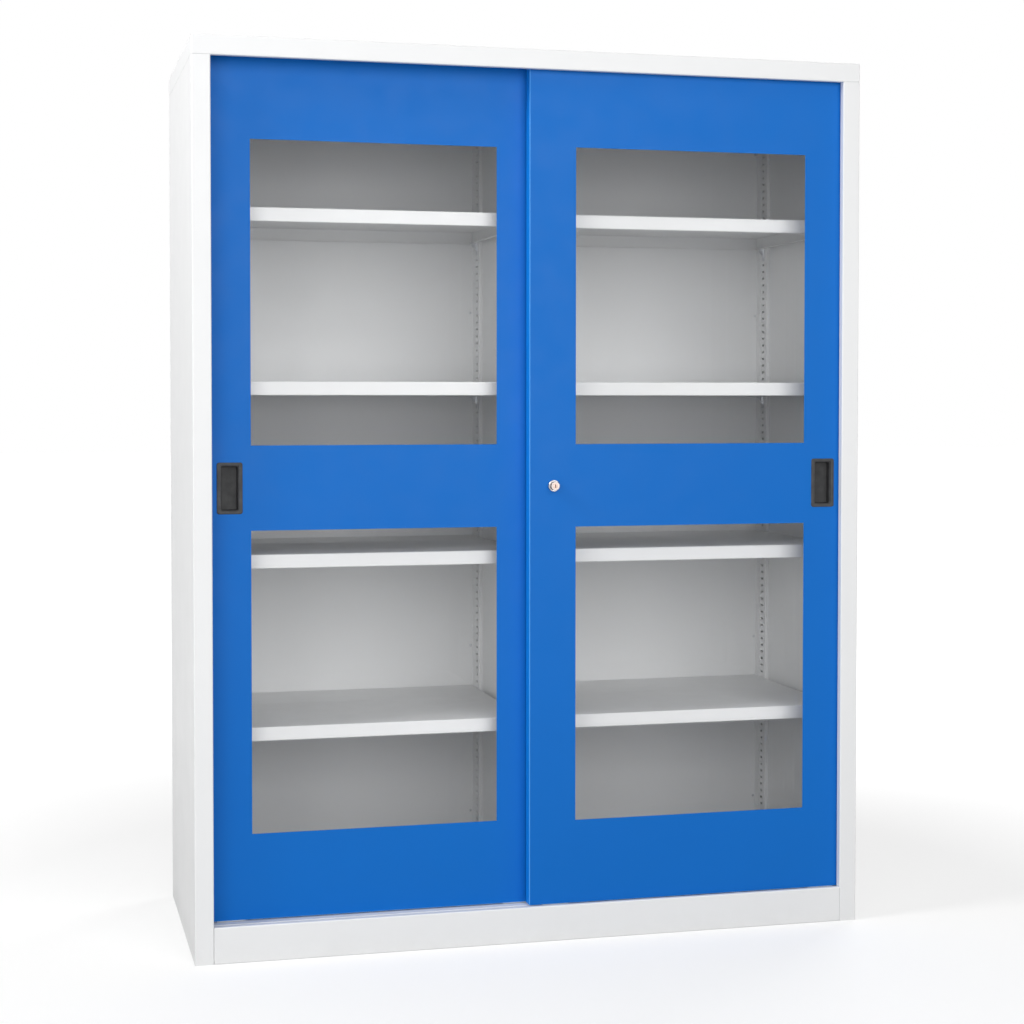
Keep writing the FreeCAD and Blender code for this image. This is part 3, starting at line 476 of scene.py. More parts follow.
def moulded_finish(name, colour, grain, rubbed, gloss, depth=0.00005, shine=0.5):
    """Return a moulded plastic or rubber."""
    finish = Finish(name)
    skin = finish.group(
        "Fine Grain",
        Colour=with_alpha(colour),
        Grain_Scale=grain,
        Rubbed=rubbed,
        Gloss_Low=gloss[0],
        Gloss_High=gloss[1],
    )
    # Painted shade darkens the deeply recessed parts, wherever a depth attribute is given.
    recess_shaded = finish.group("Deep Grime", Colour=skin["Colour"], Amount=0.66)
    finish.set(Base_Color=recess_shaded["Colour"], Roughness=skin["Roughness"], Specular_IOR_Level=shine)
    finish.bump(skin["Height"], distance=depth, strength=0.6)
    return finish.material


def glass_finish(name, tint, clarity):
    """Return clear glass with faint wiping marks."""
    finish = Finish(name)
    marks = noise(finish.tree, finish.place, scale=9.0, detail=5.0, roughness=0.6)
    finish.set(
        Base_Color=with_alpha(tint),
        Roughness=remap(finish.tree, marks, 0.4, 0.75, 0.0, 0.06),
        Transmission_Weight=1.0,
        IOR=1.45,
        Alpha=1.0 - clarity,
    )
    return finish.material


def give_material(nodes, material):
    """Give CAD nodes their material."""
    for name in nodes:
        for material_slot in NODES[name].material_slots:
            material_slot.link = "OBJECT"
            material_slot.material = material


# ---- Geometry node trees ----

def geometry_tree(name, **inputs):
    """Return a new tree that ends in Realize Instances and Set Material, and what it is given."""
    tree = bpy.data.node_groups.new(name, "GeometryNodeTree")
    for label, kind in {"Geometry": "Geometry", **inputs, "Material": "Material"}.items():
        tree.interface.new_socket(
            label.replace("_", " "), in_out="INPUT", socket_type="NodeSocket" + kind
        )
    tree.interface.new_socket("Geometry", in_out="OUTPUT", socket_type="NodeSocketGeometry")
    given = tree.nodes.new("NodeGroupInput").outputs
    real = tree.nodes.new("GeometryNodeRealizeInstances")
    coat = add_node(
        tree, "GeometryNodeSetMaterial", Geometry=real.outputs["Geometry"], Material=given["Material"]
    )
    add_node(tree, "NodeGroupOutput", Geometry=coat.outputs["Geometry"])
    return tree, given, real.inputs["Geometry"]


def fastener_rows_tree():
    """Return the tree that sets one fastener along a row from each of its start points."""
    tree, given, result = geometry_tree("Fastener Rows", Fastener="Object", Count="Int", Step="Vector")
    row = add_node(tree, "GeometryNodeMeshLine", Count=given["Count"], Offset=given["Step"])
    rows = add_node(
        tree, "GeometryNodeInstanceOnPoints", Points=given["Geometry"], Instance=row.outputs["Mesh"]
    )
    places = add_node(tree, "GeometryNodeRealizeInstances", Geometry=rows.outputs["Instances"])
    source = add_node(tree, "GeometryNodeObjectInfo", Object=given["Fastener"])
    each = add_node(
        tree,
        "GeometryNodeInstanceOnPoints",
        Points=places.outputs["Geometry"],
        Instance=source.outputs["Geometry"],
    )
    tree.links.new(each.outputs["Instances"], result)
    return tree


def coil_tree():
    """Return the tree that winds a round wire into a coil along Z."""
    tree, given, result = geometry_tree(
        "Coil", Turns="Float", Coil_Radius="Float", Wire_Radius="Float", Rise="Float"
    )
    path = add_node(
        tree,
        "GeometryNodeCurveSpiral",
        Resolution=36,
        Rotations=given["Turns"],
        Start_Radius=given["Coil Radius"],
        End_Radius=given["Coil Radius"],
        Height=given["Rise"],
    )
    section = add_node(
        tree, "GeometryNodeCurvePrimitiveCircle", Resolution=12, Radius=given["Wire Radius"]
    )
    wire = add_node(
        tree,
        "GeometryNodeCurveToMesh",
        Curve=path.outputs["Curve"],
        Profile_Curve=section.outputs["Curve"],
        Fill_Caps=True,
    )
    tree.links.new(wire.outputs["Mesh"], result)
    return tree


def grown(name, tree, points, values):
    """Return the plain mesh that a geometry tree makes from points and its named inputs."""
    seed = bpy.data.meshes.new(name + "_points")
    seed.from_pydata([tuple(point) for point in points], [], [])
    carrier = make_object(name + "_seed", seed)
    modifier = carrier.modifiers.new("Growth", "NODES")
    modifier.node_group = tree
    for item in tree.interface.items_tree:
        if item.item_type == "SOCKET" and item.in_out == "INPUT" and item.name in values:
            modifier[item.identifier] = values[item.name]
    carrier.update_tag()
    bpy.context.view_layer.update()
    graph = bpy.context.evaluated_depsgraph_get()
    mesh = bpy.data.meshes.new_from_object(carrier.evaluated_get(graph))
    mesh.name = name
    bpy.data.objects.remove(carrier)
    smooth_by_angle(mesh, 35)
    return mesh


def zinc_finish():
    """Return the zinc plating that the running gear and the fasteners share."""
    known = bpy.data.materials.get("Zinc Plating")
    return known or metal_finish("Zinc Plating", (0.70, 0.71, 0.73), 110.0, 0.45, (0.28, 0.42))


def fit_piece(name, mesh, node, body):
    """Return a new piece that stands for a CAD node and rides on a body."""
    piece = make_object(name, mesh)
    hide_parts(node)
    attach(piece, body)
    return piece


def set_fasteners(name, build, starts, count, step, node, body):
    """Set rows of one fastener from their start points, in place of a CAD node."""
    tree = bpy.data.node_groups.get("Fastener Rows") or fastener_rows_tree()
    source = make_object(name + "_source", mesh_from(name + "_source", build))
    values = {"Fastener": source, "Count": count, "Step": tuple(step), "Material": zinc_finish()}
    fit_piece(name, grown(name, tree, starts, values), node, body)
    bpy.data.objects.remove(source)


# ---- Settings a user would change ----

def colour_setting(name, description, default):
    """Return a colour property."""
    return FloatVectorProperty(
        name=name, description=description, subtype="COLOR", size=3, min=0.0, max=1.0, default=default
    )


def number_setting(name, description, default, least, most, **kind):
    """Return a property for a number."""
    return FloatProperty(
        name=name, description=description, min=least, max=most, default=default, **kind
    )


def share_setting(name, description, default, most=1.0):
    """Return a property for a share of the whole."""
    return number_setting(name, description, default, 0.0, most, subtype="FACTOR")


def length_setting(*values):
    """Return a length property."""
    return number_setting(*values, subtype="DISTANCE", unit="LENGTH")


def power_setting(name, description, default):
    """Return a property for a lamp's power."""
    return FloatProperty(name=name, description=description, unit="POWER", min=0.0, default=default)


class PaintSettings(bpy.types.PropertyGroup):
    """Colours and texture of the powder-coated steel."""

    body_colour: colour_setting(
        "Body Colour", "Colour of the body and of the shelves", (0.838, 0.843, 0.846)
    )
    door_colour: colour_setting("Door Colour", "Colour of both doors", (0.002, 0.145, 0.545))
    # Painted light: the doors' folded sides are painted a lighter blue, for the light they catch from
    # the left.
    lit_fold_colour: colour_setting(
        "Lit Fold Colour",
        "Colour of the doors' folded sides, where the coat is thinner",
        (0.006, 0.27, 0.82),
    )
    texture_scale: number_setting(
        "Texture Scale", "Grains of the powder coat per metre", 650.0, 100.0, 2000.0
    )
    dust: share_setting("Dust", "How much dust lies on faces that look up", 0.10)
    edge_wear: share_setting("Edge Wear", "How far the coat is rubbed along folded edges", 0.25)
    # How strongly the painted highlight along the doors' bends shows.
    bend_highlight: share_setting(
        "Bend Highlight", "How much paler the doors are along their bends", 0.50
    )


class GlassSettings(bpy.types.PropertyGroup):
    """The panes in the doors."""

    tint: colour_setting(
        "Tint", "Colour that the panes give to what is behind them", (0.95, 0.975, 0.97)
    )
    clarity: share_setting(
        "Clarity", "Share of the light that passes straight through", 0.95, most=0.98
    )


class GripSettings(bpy.types.PropertyGroup):
    """The recessed grips, inside the size that the construction gives them."""

    rim_round: length_setting(
        "Rim Rounding", "Radius along the outer edge of the rim", 0.0011, 0.0002, 0.0014
    )
    ledge_depth: length_setting(
        "Ledge Depth", "From the rim's face down to the ledge round the well", 0.003, 0.001, 0.008
    )
    ledge_width: length_setting(
        "Ledge Width", "Width of the ledge between the mouth and the well", 0.0018, 0.0005, 0.004
    )
    colour: colour_setting("Colour", "Colour of the plastic", (0.0415, 0.0425, 0.0455))


class FastenerSettings(bpy.types.PropertyGroup):
    """Rivets and screws."""

    rivet_rows: IntProperty(
        name="Rivet Rows",
        description="Rivets in each column on the rear panels",
        min=2,
        max=40,
        default=9,
    )
    recess_length: length_setting(
        "Recess Length", "Length of one arm of a screw's cross recess", 0.0022, 0.0005, 0.003
    )
    recess_width: length_setting(
        "Recess Width", "Width of a screw's cross recess", 0.0009, 0.0003, 0.002
    )


class StageSettings(bpy.types.PropertyGroup):
    """Floor, light and camera."""

    sky_strength: number_setting("Sky Strength", "Even light from all round", 0.30, 0.0, 4.0)
    front_power: power_setting("Front Power", "Power of the broad lamp in front", 148.0)
    left_power: power_setting("Left Power", "Power of the lamp in front on the left", 52.0)
    side_power: power_setting("Side Power", "Power of the lamp above the left side", 75.0)
    rear_power: power_setting("Rear Power", "Power of the lamp behind on the right", 60.0)
    lens: number_setting("Lens", "Focal length of the camera in millimetres", 67.647, 20.0, 200.0)


# ---- Pieces ----

BODY_NODES = (
    "left_side_panel",
    "right_side_panel",
    "cap",
    "cap_stiffener",
    "plinth_front",
    "lower_guide_rail",
    "floor_panel",
    "left_rear_panel",
    "right_rear_panel",
    "centre_partition",
    "left_bay_strips",
    "right_bay_strips",
)
ZINC_NODES = (
    "upper_track",
    "left_bay_clips",
    "right_bay_clips",
    "left_door_hangers",
    "right_door_hangers",
    "left_door_axles",
    "right_door_axles",
    "lock_nut",
    "lock_keeper",
)
RUBBER_NODES = ("track_stops", "left_door_buffers", "right_door_buffers")


def nodes_with(*endings):
    """Return the CAD nodes whose names end in one of the endings."""
    return [name for name in NODES if name.endswith(endings)]


class CABINET_OT_coat_body(bpy.types.Operator):
    """Give the body, the bays and the shelves their light grey powder coat"""

    bl_idname = "cabinet.coat_body"
    bl_label = "Coat Body and Shelves"

    def execute(self, context):
        colour = context.scene.cabinet_paint.body_colour
        coat = paint_finish("Body Powder Coat", colour, mottle=0.05, gloss=(0.36, 0.50), shine=0.3)
        shelves = [name for name in NODES if "_shelf_" in name]
        give_material(list(BODY_NODES) + shelves, coat)
        return {"FINISHED"}


class CABINET_OT_coat_doors(bpy.types.Operator):
    """Give both doors and their ribs their blue powder coat, with painted light on their folded sides
    and a painted highlight along their bends
    """

    bl_idname = "cabinet.coat_doors"
    bl_label = "Coat Doors"

    # Colour of the painted highlight along the doors' bends.
    BEND_HIGHLIGHT_COLOUR = (0.22, 0.52, 0.95)

    def execute(self, context):
        paint = context.scene.cabinet_paint
        coat = paint_finish(
            "Door Powder Coat",
            paint.door_colour,
            mottle=0.10,
            gloss=(0.34, 0.46),
            shine=0.15,
            lit_folds=paint.lit_fold_colour,
            pale=self.BEND_HIGHLIGHT_COLOUR,
        )
        give_material(nodes_with("_door_skin", "_door_ribs"), coat)
        return {"FINISHED"}


class CABINET_OT_glaze_doors(bpy.types.Operator):
    """Give the panes their glass and the frames behind them their plastic"""

    bl_idname = "cabinet.glaze_doors"
    bl_label = "Glaze Doors"

    def execute(self, context):
        glass = context.scene.cabinet_glass
        give_material(nodes_with("_pane"), glass_finish("Clear Glass", glass.tint, glass.clarity))
        plastic = moulded_finish("Frame Plastic", (0.11, 0.11, 0.12), 1100.0, 0.10, (0.5, 0.65))
        give_material(nodes_with("_pane_frames"), plastic)
        return {"FINISHED"}


class CABINET_OT_fit_grips(bpy.types.Operator):
    """Build the recessed grips with their rounded rims, ledges and wells"""

    bl_idname = "cabinet.fit_grips"
    bl_label = "Fit Grips"

    RIM_CORNER = 0.005
    RIM_THICKNESS = 0.0015
    RECESS_MARGIN = 0.0080      # from the rim's side to the mouth
    RECESS_END_MARGIN = 0.0062  # from the rim's upper end to the mouth
    MOUTH_CORNER = 0.003
    LIP = 0.0005                # rounding of the mouth, the ledge and the tub
    WALL = 0.002
    DRAFT = 0.0006
    FLOOR_ROUND = 0.002

    def outline(self, low, high, settings):
        """Return the sizes of the grip's rings: over its front to the floor, and outside."""
        def rim(wider, y):
            return (high.x - low.x + wider, high.z - low.z + wider, self.RIM_CORNER, y)

        def mouth(wider, y):
            width = high.x - low.x - 2 * self.RECESS_MARGIN
            height = high.z - low.z - 2 * self.RECESS_END_MARGIN
            return (width + wider, height + wider, self.MOUTH_CORNER, y)

        face, skin = low.y, low.y + self.RIM_THICKNESS
        ledge = face + settings.ledge_depth
        floor = high.y - self.WALL
        lip = self.LIP
        well = 2 * settings.ledge_width
        tub = 2 * self.WALL
        front = [rim(0.0, skin)]
        for angle in QUARTER:
            inset = 2 * settings.rim_round * (1 - math.cos(angle))
            front.append(rim(-inset, face + settings.rim_round * (1 - math.sin(angle))))
        front += [
            mouth(2 * lip, face),
            mouth(lip / 2, face + lip / 3),
            mouth(0.0, face + lip),
            mouth(0.0, ledge),
            mouth(2 * lip - well, ledge),
            mouth(-well, ledge + lip),
        ]
        for angle in QUARTER:
            inset = well + 2 * self.DRAFT + 2 * self.FLOOR_ROUND * (1 - math.cos(angle))
            front.append(mouth(-inset, floor - self.FLOOR_ROUND * (1 - math.sin(angle))))
        outside = [
            rim(-2 * lip, skin),
            mouth(tub + 2 * lip, skin),
            mouth(tub, skin + lip),
            mouth(tub, high.y - lip),
            mouth(tub - 2 * lip, high.y),
        ]
        return front, outside

    def build(self, node, settings):
        """Return the mesh of the grip that stands for one CAD node."""
        low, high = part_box(node)
        centre = (low + high) / 2

        def fill(shape):
            inner, outer = [
                [rounded_rectangle(shape, centre, *ring) for ring in rings]
                for rings in self.outline(low, high, settings)
            ]
            join_rings(shape, inner)
            join_rings(shape, inner[:1] + outer)
            shape.faces.new(inner[-1])
            shape.faces.new(outer[-1])

        mesh = mesh_from(node + "_moulding", fill)
        smooth_by_angle(mesh, 40)
        # The depth attribute drives the painted shade deep in the well.
        depths = mesh.attributes.new("depth", "FLOAT", "POINT")
        for vertex, depth in zip(mesh.vertices, depths.data):
            depth.value = (vertex.co.y - low.y) / (high.y - low.y)
        return mesh

    def execute(self, context):
        settings = context.scene.cabinet_grip
        gloss = (0.38, 0.55)
        plastic = moulded_finish("Grip Plastic", settings.colour, 1500.0, 0.04, gloss, shine=0.25)
        for side in SIDES:
            node = side + "_door_grip"
            mesh = self.build(node, settings)
            mesh.materials.append(plastic)
            fit_piece(node + "_moulding", mesh, node, side + "_door")
        return {"FINISHED"}


class CABINET_OT_fit_lock(bpy.types.Operator):
    """Finish the push lock and its key plug"""

    bl_idname = "cabinet.fit_lock"
    bl_label = "Fit Lock"

    METALS = (
        # node, metal, face colour, side colour (painted shade and dark reflection on the turned
        # sides), patches per metre, contrast, gloss
        ("lock_housing", "Chrome", (0.62, 0.60, 0.60), (0.60, 0.57, 0.58), 60.0, 0.12, (0.20, 0.30)),
        ("lock_plunger", "Nickel", (0.385, 0.345, 0.33), (0.10, 0.07, 0.06), 60.0, 0.15, (0.24, 0.34)),
        ("lock_key_plug", "Brass", (0.34, 0.26, 0.23), (0.08, 0.05, 0.04), 160.0, 0.25, (0.20, 0.30)),
    )

    def execute(self, context):
        for node, metal, face, side, patch, contrast, gloss in self.METALS:
            finish = metal_finish("Lock " + metal, face, patch, contrast, gloss, side)
            give_material((node,), finish)
        return {"FINISHED"}


class CABINET_OT_wind_spring(bpy.types.Operator):
    """Wind the lock's return spring as a coil of fixed length; the real spring shortens as the push
    cylinder goes in
    """

    bl_idname = "cabinet.wind_spring"
    bl_label = "Wind Spring"

    TURNS = 4.0
    WIRE_RADIUS = 0.00045

    def execute(self, context):
        low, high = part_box("lock_spring")
        axis = (low + high) / 2
        length = high.y - low.y
        values = {
            "Turns": self.TURNS,
            "Coil Radius": (high.z - low.z) / 2 - self.WIRE_RADIUS,
            "Wire Radius": self.WIRE_RADIUS,
            "Rise": length - 2 * self.WIRE_RADIUS,
            "Material": zinc_finish(),
        }
        mesh = grown("return_spring", coil_tree(), [(0.0, 0.0, 0.0)], values)
        along_y = Matrix.Rotation(math.radians(-90), 4, "X")
        mesh.transform(Matrix.Translation((axis.x, low.y + self.WIRE_RADIUS, axis.z)) @ along_y)
        piece = fit_piece("return_spring", mesh, "lock_spring", "right_door")
        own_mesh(piece)
        return {"FINISHED"}


class CABINET_OT_fit_running_gear(bpy.types.Operator):
    """Finish the track, hangers, rollers, guides, stops, clips and buffers"""

    bl_idname = "cabinet.fit_running_gear"
    bl_label = "Fit Running Gear"

    def execute(self, context):
        give_material(ZINC_NODES, zinc_finish())
        nylon = moulded_finish("Nylon", (0.74, 0.73, 0.68), 700.0, 0.12, (0.34, 0.48), 0.00003)
        give_material(nodes_with("_roller_1", "_roller_2", "_door_guides"), nylon)
        dark = (0.045, 0.045, 0.047)
        rubber = moulded_finish("Buffer Rubber", dark, 1000.0, 0.08, (0.62, 0.8), 0.00006)
        give_material(RUBBER_NODES, rubber)
        return {"FINISHED"}


BETWEEN_ARMS = (24, 45, 66)     # degrees from an arm of a cross recess to a ring's further corners
RECESS_LEVELS = ((0.25, 1.0), (0.8, 0.75), (1.0, 0.0))      # shares of the recess's reach and depth
ROUNDING = 1.0001               # slack for a corner that lies right on the side of an arm


def cross_recess_angles(half_angle):
    """Return the angles of a ring that has corners where a cross recess has them."""
    offsets = (-half_angle, half_angle, *map(math.radians, BETWEEN_ARMS))
    return [math.tau * arm / 4 + offset for arm in range(4) for offset in offsets]


def cross_radius(angle, length, width):
    """Return how far a cross recess reaches at an angle."""
    off_arm = abs((angle + math.pi / 4) % (math.pi / 2) - math.pi / 4)
    if math.tan(off_arm) * length <= width / 2 * ROUNDING:
        return length / math.cos(off_arm)
    return width / 2 / math.sin(off_arm)


def screw_rings(shape, profile, settings, depth):
    """Add a screw to a bmesh: its profile of (radius, height), from the recess outwards."""
    length, width = settings.recess_length, settings.recess_width
    angles = cross_recess_angles(math.atan(width / 2 / length))
    top = profile[0][1]
    rings = []
    for share, sink in RECESS_LEVELS:
        recess = [(angle, cross_radius(angle, length, width) * share) for angle in angles]
        rings.append(ring_of(shape, top - depth * sink, recess))
    for radius, height in profile:
        rings.append(ring_of(shape, height, [(angle, radius) for angle in angles]))
    join_rings(shape, rings)
    shape.faces.new(rings[0])
    shape.faces.new(rings[-1])


def solid_boxes(node):
    """Return the box of each separate solid of a CAD node, in the order of their lowest corners."""
    shape = bmesh.new()
    shape.from_mesh(NODES[node].data)
    bmesh.ops.remove_doubles(shape, verts=shape.verts, dist=1e-6)
    boxes = []
    left = set(shape.verts)
    while left:
        edge = [left.pop()]
        low, high = edge[0].co.copy(), edge[0].co.copy()
        while edge:
            corner = edge.pop()
            low = Vector(map(min, low, corner.co))
            high = Vector(map(max, high, corner.co))
            for line in corner.link_edges:
                other = line.other_vert(corner)
                if other in left:
                    left.remove(other)
                    edge.append(other)
        boxes.append((low, high))
    shape.free()
    return sorted(boxes, key=lambda box: box[0][:])


def fastener_rows(node, axis, apart=0.0004):
    """Return the places of a CAD node's solids, grouped in rows along an axis."""
    rows = []
    places = [(low + high) / 2 for low, high in solid_boxes(node)]
    for place in sorted(places, key=lambda place: place[axis]):
        for row in rows:
            away = place - row[0]
            away[axis] = 0.0
            if away.length < apart:
                row.append(place)
                break
        else:
            rows.append([place])
    return rows


class CABINET_OT_set_rivets(bpy.types.Operator):
    """Set the rivets of the rear panels in columns"""

    bl_idname = "cabinet.set_rivets"
    bl_label = "Set Rivets"

    HEAD_RADIUS = 0.0035
    HEAD_HEIGHT = 0.0012
    SHANK_RADIUS = 0.002
    TAIL_ROUND = 0.0002
    CORE_RADIUS = 0.0009
    CORE_DEPTH = 0.0006
    FACETS = 18

    def rivet(self, length):
        """Return a function that builds a rivet along Y, its head in front and its tail hollow."""
        def fill(shape):
            profile = []
            for angle in QUARTER[1:]:
                rise = self.HEAD_HEIGHT * (1 - math.cos(angle))
                profile.append((self.HEAD_RADIUS * math.sin(angle), rise))
            profile += [
                (self.SHANK_RADIUS, self.HEAD_HEIGHT),
                (self.SHANK_RADIUS, length - self.TAIL_ROUND),
                (self.SHANK_RADIUS - self.TAIL_ROUND, length),
                (self.CORE_RADIUS, length),
                (self.CORE_RADIUS - self.TAIL_ROUND, length - self.CORE_DEPTH),
            ]
            angles = [math.tau * index / self.FACETS for index in range(self.FACETS)]
            rings = [[shape.verts.new((0, 0, 0))]]
            for radius, height in profile:
                rings.append(ring_of(shape, height, [(angle, radius) for angle in angles]))
            rings.append([shape.verts.new((0, 0, length - self.CORE_DEPTH))])
            join_rings(shape, rings)
            along_y = Matrix.Rotation(math.radians(-90), 4, "X")
            bmesh.ops.transform(shape, verts=shape.verts, matrix=along_y)

        return fill

    def execute(self, context):
        low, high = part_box("rear_rivets")
        count = context.scene.cabinet_fastener.rivet_rows
        columns = fastener_rows("rear_rivets", 2)
        bottom = columns[0][0].z
        step = (0.0, 0.0, (columns[0][-1].z - bottom) / (count - 1))
        starts = [(column[0].x, low.y, bottom) for column in columns]
        build = self.rivet(high.y - low.y)
        set_fasteners("rear_panel_rivets", build, starts, count, step, "rear_rivets", "cabinet")
        return {"FINISHED"}


class CABINET_OT_set_screws(bpy.types.Operator):
    """Set the screws of the cap, the track and the hangers in rows"""

    bl_idname = "cabinet.set_screws"
    bl_label = "Set Screws"

    PAN_RADIUS = 0.004
    PAN_HEIGHT = 0.0025
    PAN_TOP = 0.7               # share of the head's radius where its top starts to bend down
    PAN_SIDE = 0.4              # share of the head's height that its side stands up
    SHANK_RADIUS = 0.0025
    TIP = 0.0006
    SUNK_RADIUS = 0.0046
    SUNK_HEIGHT = 0.0021
    SUNK_EDGE = 0.0002
    RECESS_DEPTH = 0.0013
    NUT_HEIGHT = 0.004
    NUT_FLAT = 0.004
    NUT_CHAMFER = 0.0004
    NUT_PLAY = 0.00005

    def tip(self, length):
        """Return the profile of a screw's end, from its shank to its tip."""
        return [(self.SHANK_RADIUS, self.TIP - length), (self.SHANK_RADIUS - self.TIP, -length)]

    def pan_screw(self, length, settings):
        """Return a function that builds a pan-head screw under its seat, with its tip up."""
        def fill(shape):
            profile = []
            for angle in QUARTER:
                across = self.PAN_TOP + (1 - self.PAN_TOP) * math.sin(angle)
                up = self.PAN_SIDE + (1 - self.PAN_SIDE) * math.cos(angle)
                profile.append((self.PAN_RADIUS * across, self.PAN_HEIGHT * up))
            profile += [(self.PAN_RADIUS, 0.0), (self.SHANK_RADIUS, 0.0)]
            screw_rings(shape, profile + self.tip(length), settings, self.RECESS_DEPTH)
            bmesh.ops.rotate(shape, verts=shape.verts, matrix=Matrix.Rotation(math.pi, 3, "X"))

        return fill

    def sunk_screw(self, length, nut_top, settings):
        """Return a function that builds a countersunk screw with its head up and its nut below."""
        def fill(shape):
            profile = [
                (self.SUNK_RADIUS - self.SUNK_EDGE, 0.0),
                (self.SUNK_RADIUS, -self.SUNK_EDGE),
                (self.SHANK_RADIUS, -self.SUNK_HEIGHT),
            ]
            screw_rings(shape, profile + self.tip(length), settings, self.RECESS_DEPTH)
            self.nut(shape, -nut_top - self.NUT_HEIGHT)

        return fill

    def nut(self, shape, base):
        """Add a hexagon nut with chamfered corners to a bmesh."""
        bore = self.SHANK_RADIUS + self.NUT_PLAY
        corner = self.NUT_FLAT / math.cos(math.pi / 6)
        top = base + self.NUT_HEIGHT
        levels = (
            (bore, base),
            (self.NUT_FLAT, base),
            (corner, base + self.NUT_CHAMFER),
            (corner, top - self.NUT_CHAMFER),
            (self.NUT_FLAT, top),
            (bore, top),
        )
        rings = []
        for radius, height in levels:
            reaches = []
            for index in range(12):
                reach = min(radius, self.NUT_FLAT if index % 2 else corner)
                reaches.append((math.tau * index / 12, reach))
            rings.append(ring_of(shape, height, reaches))
        join_rings(shape, rings + rings[:1])

    def set_pan_screws(self, name, node, axis, settings):
        """Set a node's pan-head screws: one piece for each length of row along an axis."""
        low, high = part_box(node)
        build = self.pan_screw(high.z - low.z - self.PAN_HEIGHT, settings)
        rows = fastener_rows(node, axis)
        for number, count in enumerate(sorted({len(row) for row in rows})):
            alike = [row for row in rows if len(row) == count]
            starts = [(row[0].x, row[0].y, low.z + self.PAN_HEIGHT) for row in alike]
            step = alike[0][1] - alike[0][0]
            set_fasteners(f"{name}_{number + 1}", build, starts, count, step, node, "cabinet")

    def set_hanger_screws(self, side, settings):
        """Set the countersunk screws and nuts of one door's two hangers, in pairs."""
        node = side + "_door_screws"
        low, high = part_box(node)
        boxes = solid_boxes(node)
        tops = sorted(round(box[1].z, 5) for box in boxes)
        nut_top = tops[-1] - tops[0]
        screws = [(a + b) / 2 for a, b in boxes if high.z - b.z < nut_top / 2]
        screws.sort(key=lambda place: place.x)
        build = self.sunk_screw(high.z - low.z, nut_top, settings)
        starts = [(place.x, place.y, high.z) for place in screws[::2]]
        step = screws[1] - screws[0]
        set_fasteners(side + "_hanger_screws", build, starts, 2, step, node, side + "_door")

    def execute(self, context):
        settings = context.scene.cabinet_fastener
        self.set_pan_screws("cap_screw_rows", "cap_screws", 1, settings)
        self.set_pan_screws("track_screw_row", "track_screws", 0, settings)
        for side in SIDES:
            self.set_hanger_screws(side, settings)
        return {"FINISHED"}


# ---- Stage ----

def seen_directly(tree):
    """Return a socket that is 1 for camera, mirror and glass rays and 0 for the light on the part."""
    path = tree.nodes.new("ShaderNodeLightPath").outputs
    rays = (path["Is Camera Ray"], path["Is Glossy Ray"], path["Is Transmission Ray"])
    return arithmetic(tree, "MAXIMUM", *rays)


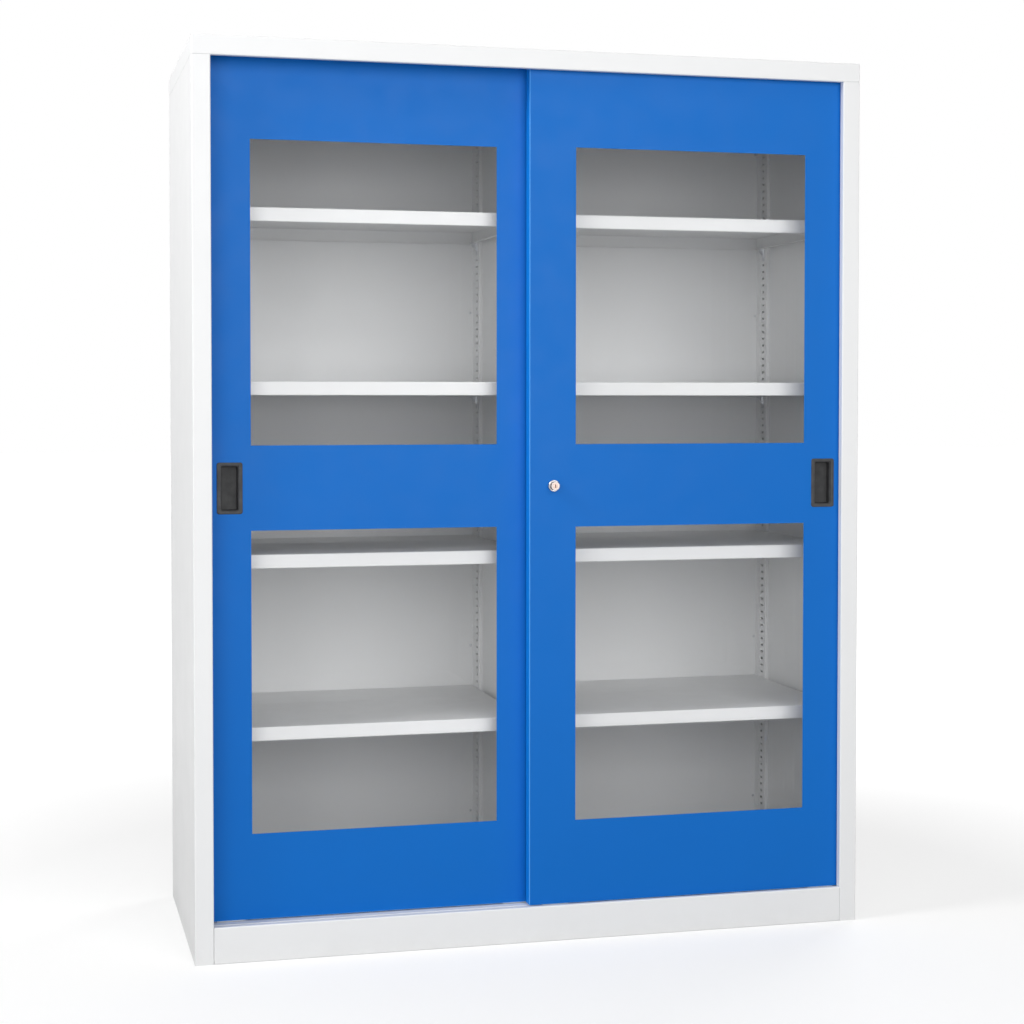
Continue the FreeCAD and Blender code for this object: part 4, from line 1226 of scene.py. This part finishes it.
class CABINET_OT_set_stage(bpy.types.Operator):
    """Lay the floor, set the soft light and place the camera"""

    bl_idname = "cabinet.set_stage"
    bl_label = "Set Stage"

    FLOOR_SIZE = 80.0
    FLOOR_GREY = (0.55, 0.55, 0.55, 1.0)
    SHADOW_REACH = (1.28, 3.2)  # from the middle: where the shadow starts to fade, and where it ends
    SHADOW_LIFT = (0.48, 0.90)  # how much the floor glows at each of them
    MIDDLE = (0.0, 0.5)         # where a lamp points: shares of the half width and of the height
    UPPER_SIDE = (-1.0, 0.85)
    LAMPS = (
        ("front", (0.5, -5.2, 2.4), MIDDLE, 4.0),
        ("left", (-3.2, -4.6, 1.8), MIDDLE, 2.4),
        ("side", (-3.2, -0.8, 3.4), UPPER_SIDE, 1.2),
        ("rear", (2.8, 2.6, 3.2), MIDDLE, 2.0),
    )
    CAMERA_PLACE = (-1.102942, -4.346757, 1.188834)
    CAMERA_TURN = (88.337, -0.0081, -14.0675)
    CAMERA_SHIFT = (0.01145, -0.05433)

    def lay_floor(self):
        """Lay a large pale floor that shows white but keeps the cabinet's shadow."""
        def fill(shape):
            bmesh.ops.create_grid(shape, x_segments=1, y_segments=1, size=self.FLOOR_SIZE / 2)

        floor = make_object("floor", mesh_from("floor", fill))
        finish = Finish("Pale Floor")
        tree = finish.tree
        away = vector_maths(tree, "LENGTH", finish.place)["Value"]
        lift = remap(tree, away, *self.SHADOW_REACH, *self.SHADOW_LIFT)
        finish.set(
            Base_Color=self.FLOOR_GREY,
            Roughness=0.9,
            Specular_IOR_Level=0.0,
            Emission_Color=WHITE,
            Emission_Strength=arithmetic(tree, "MULTIPLY", lift, seen_directly(tree)),
        )
        floor.data.materials.append(finish.material)

    def light(self, settings):
        """Set the even light from all round and the soft lamps."""
        world = bpy.data.worlds.new("Studio")
        world.use_nodes = True
        bpy.context.scene.world = world
        tree = world.node_tree
        background = tree.nodes["Background"].inputs
        background["Color"].default_value = WHITE
        strength = remap(tree, seen_directly(tree), 0.0, 1.0, settings.sky_strength, 1.0)
        tree.links.new(strength, background["Strength"])
        half_width, height = CAD_BOX[1][0], CAD_BOX[1][2]
        for name, place, (across, up), size in self.LAMPS:
            lamp = bpy.data.lights.new(name + "_lamp", "AREA")
            lamp.shape = "SQUARE"
            lamp.size = size
            lamp.energy = getattr(settings, name + "_power")
            aim = Vector((across * half_width, 0.0, up * height))
            holder = make_object(name + "_lamp", lamp)
            holder.location = place
            holder.rotation_euler = (aim - Vector(place)).to_track_quat("-Z", "Y").to_euler()

    def place_camera(self, settings):
        """Place the camera in front of the cabinet, to its left."""
        lens = bpy.data.cameras.new("camera")
        lens.lens = settings.lens
        lens.shift_x, lens.shift_y = self.CAMERA_SHIFT
        holder = make_object("camera", lens)
        holder.location = self.CAMERA_PLACE
        holder.rotation_euler = [math.radians(angle) for angle in self.CAMERA_TURN]
        bpy.context.scene.camera = holder

    def execute(self, context):
        settings = context.scene.cabinet_stage
        self.lay_floor()
        self.light(settings)
        self.place_camera(settings)
        context.scene.view_settings.view_transform = "Standard"
        return {"FINISHED"}


# ---- Panel and registration ----

STEPS = (
    CABINET_OT_coat_body,
    CABINET_OT_coat_doors,
    CABINET_OT_glaze_doors,
    CABINET_OT_fit_grips,
    CABINET_OT_fit_lock,
    CABINET_OT_wind_spring,
    CABINET_OT_fit_running_gear,
    CABINET_OT_set_rivets,
    CABINET_OT_set_screws,
    CABINET_OT_set_stage,
)
SETTINGS = {
    "cabinet_paint": PaintSettings,
    "cabinet_glass": GlassSettings,
    "cabinet_grip": GripSettings,
    "cabinet_fastener": FastenerSettings,
    "cabinet_stage": StageSettings,
}


class CABINET_PT_finish(bpy.types.Panel):
    """The steps that dress the cabinet, with their settings"""

    bl_idname = "CABINET_PT_finish"
    bl_label = "Sliding Door Cabinet"
    bl_space_type = "VIEW_3D"
    bl_region_type = "UI"
    bl_category = "Cabinet"

    def draw(self, context):
        for name, group in SETTINGS.items():
            box = self.layout.box()
            for label in group.__annotations__:
                box.prop(getattr(context.scene, name), label)
        for step in STEPS:
            self.layout.operator(step.bl_idname)


def register():
    for name, group in SETTINGS.items():
        bpy.utils.register_class(group)
        setattr(bpy.types.Scene, name, PointerProperty(type=group))
    for step in STEPS:
        bpy.utils.register_class(step)
    bpy.utils.register_class(CABINET_PT_finish)


def unregister():
    bpy.utils.unregister_class(CABINET_PT_finish)
    for step in reversed(STEPS):
        bpy.utils.unregister_class(step)
    for name, group in SETTINGS.items():
        delattr(bpy.types.Scene, name)
        bpy.utils.unregister_class(group)


def main():
    """Dress the cabinet step by step."""
    register()
    bpy.ops.cabinet.coat_body()
    bpy.ops.cabinet.coat_doors()
    bpy.ops.cabinet.glaze_doors()
    bpy.ops.cabinet.fit_grips()
    bpy.ops.cabinet.fit_lock()
    bpy.ops.cabinet.wind_spring()
    bpy.ops.cabinet.fit_running_gear()
    bpy.ops.cabinet.set_rivets()
    bpy.ops.cabinet.set_screws()
    bpy.ops.cabinet.set_stage()


if __name__ == "__main__":
    main()
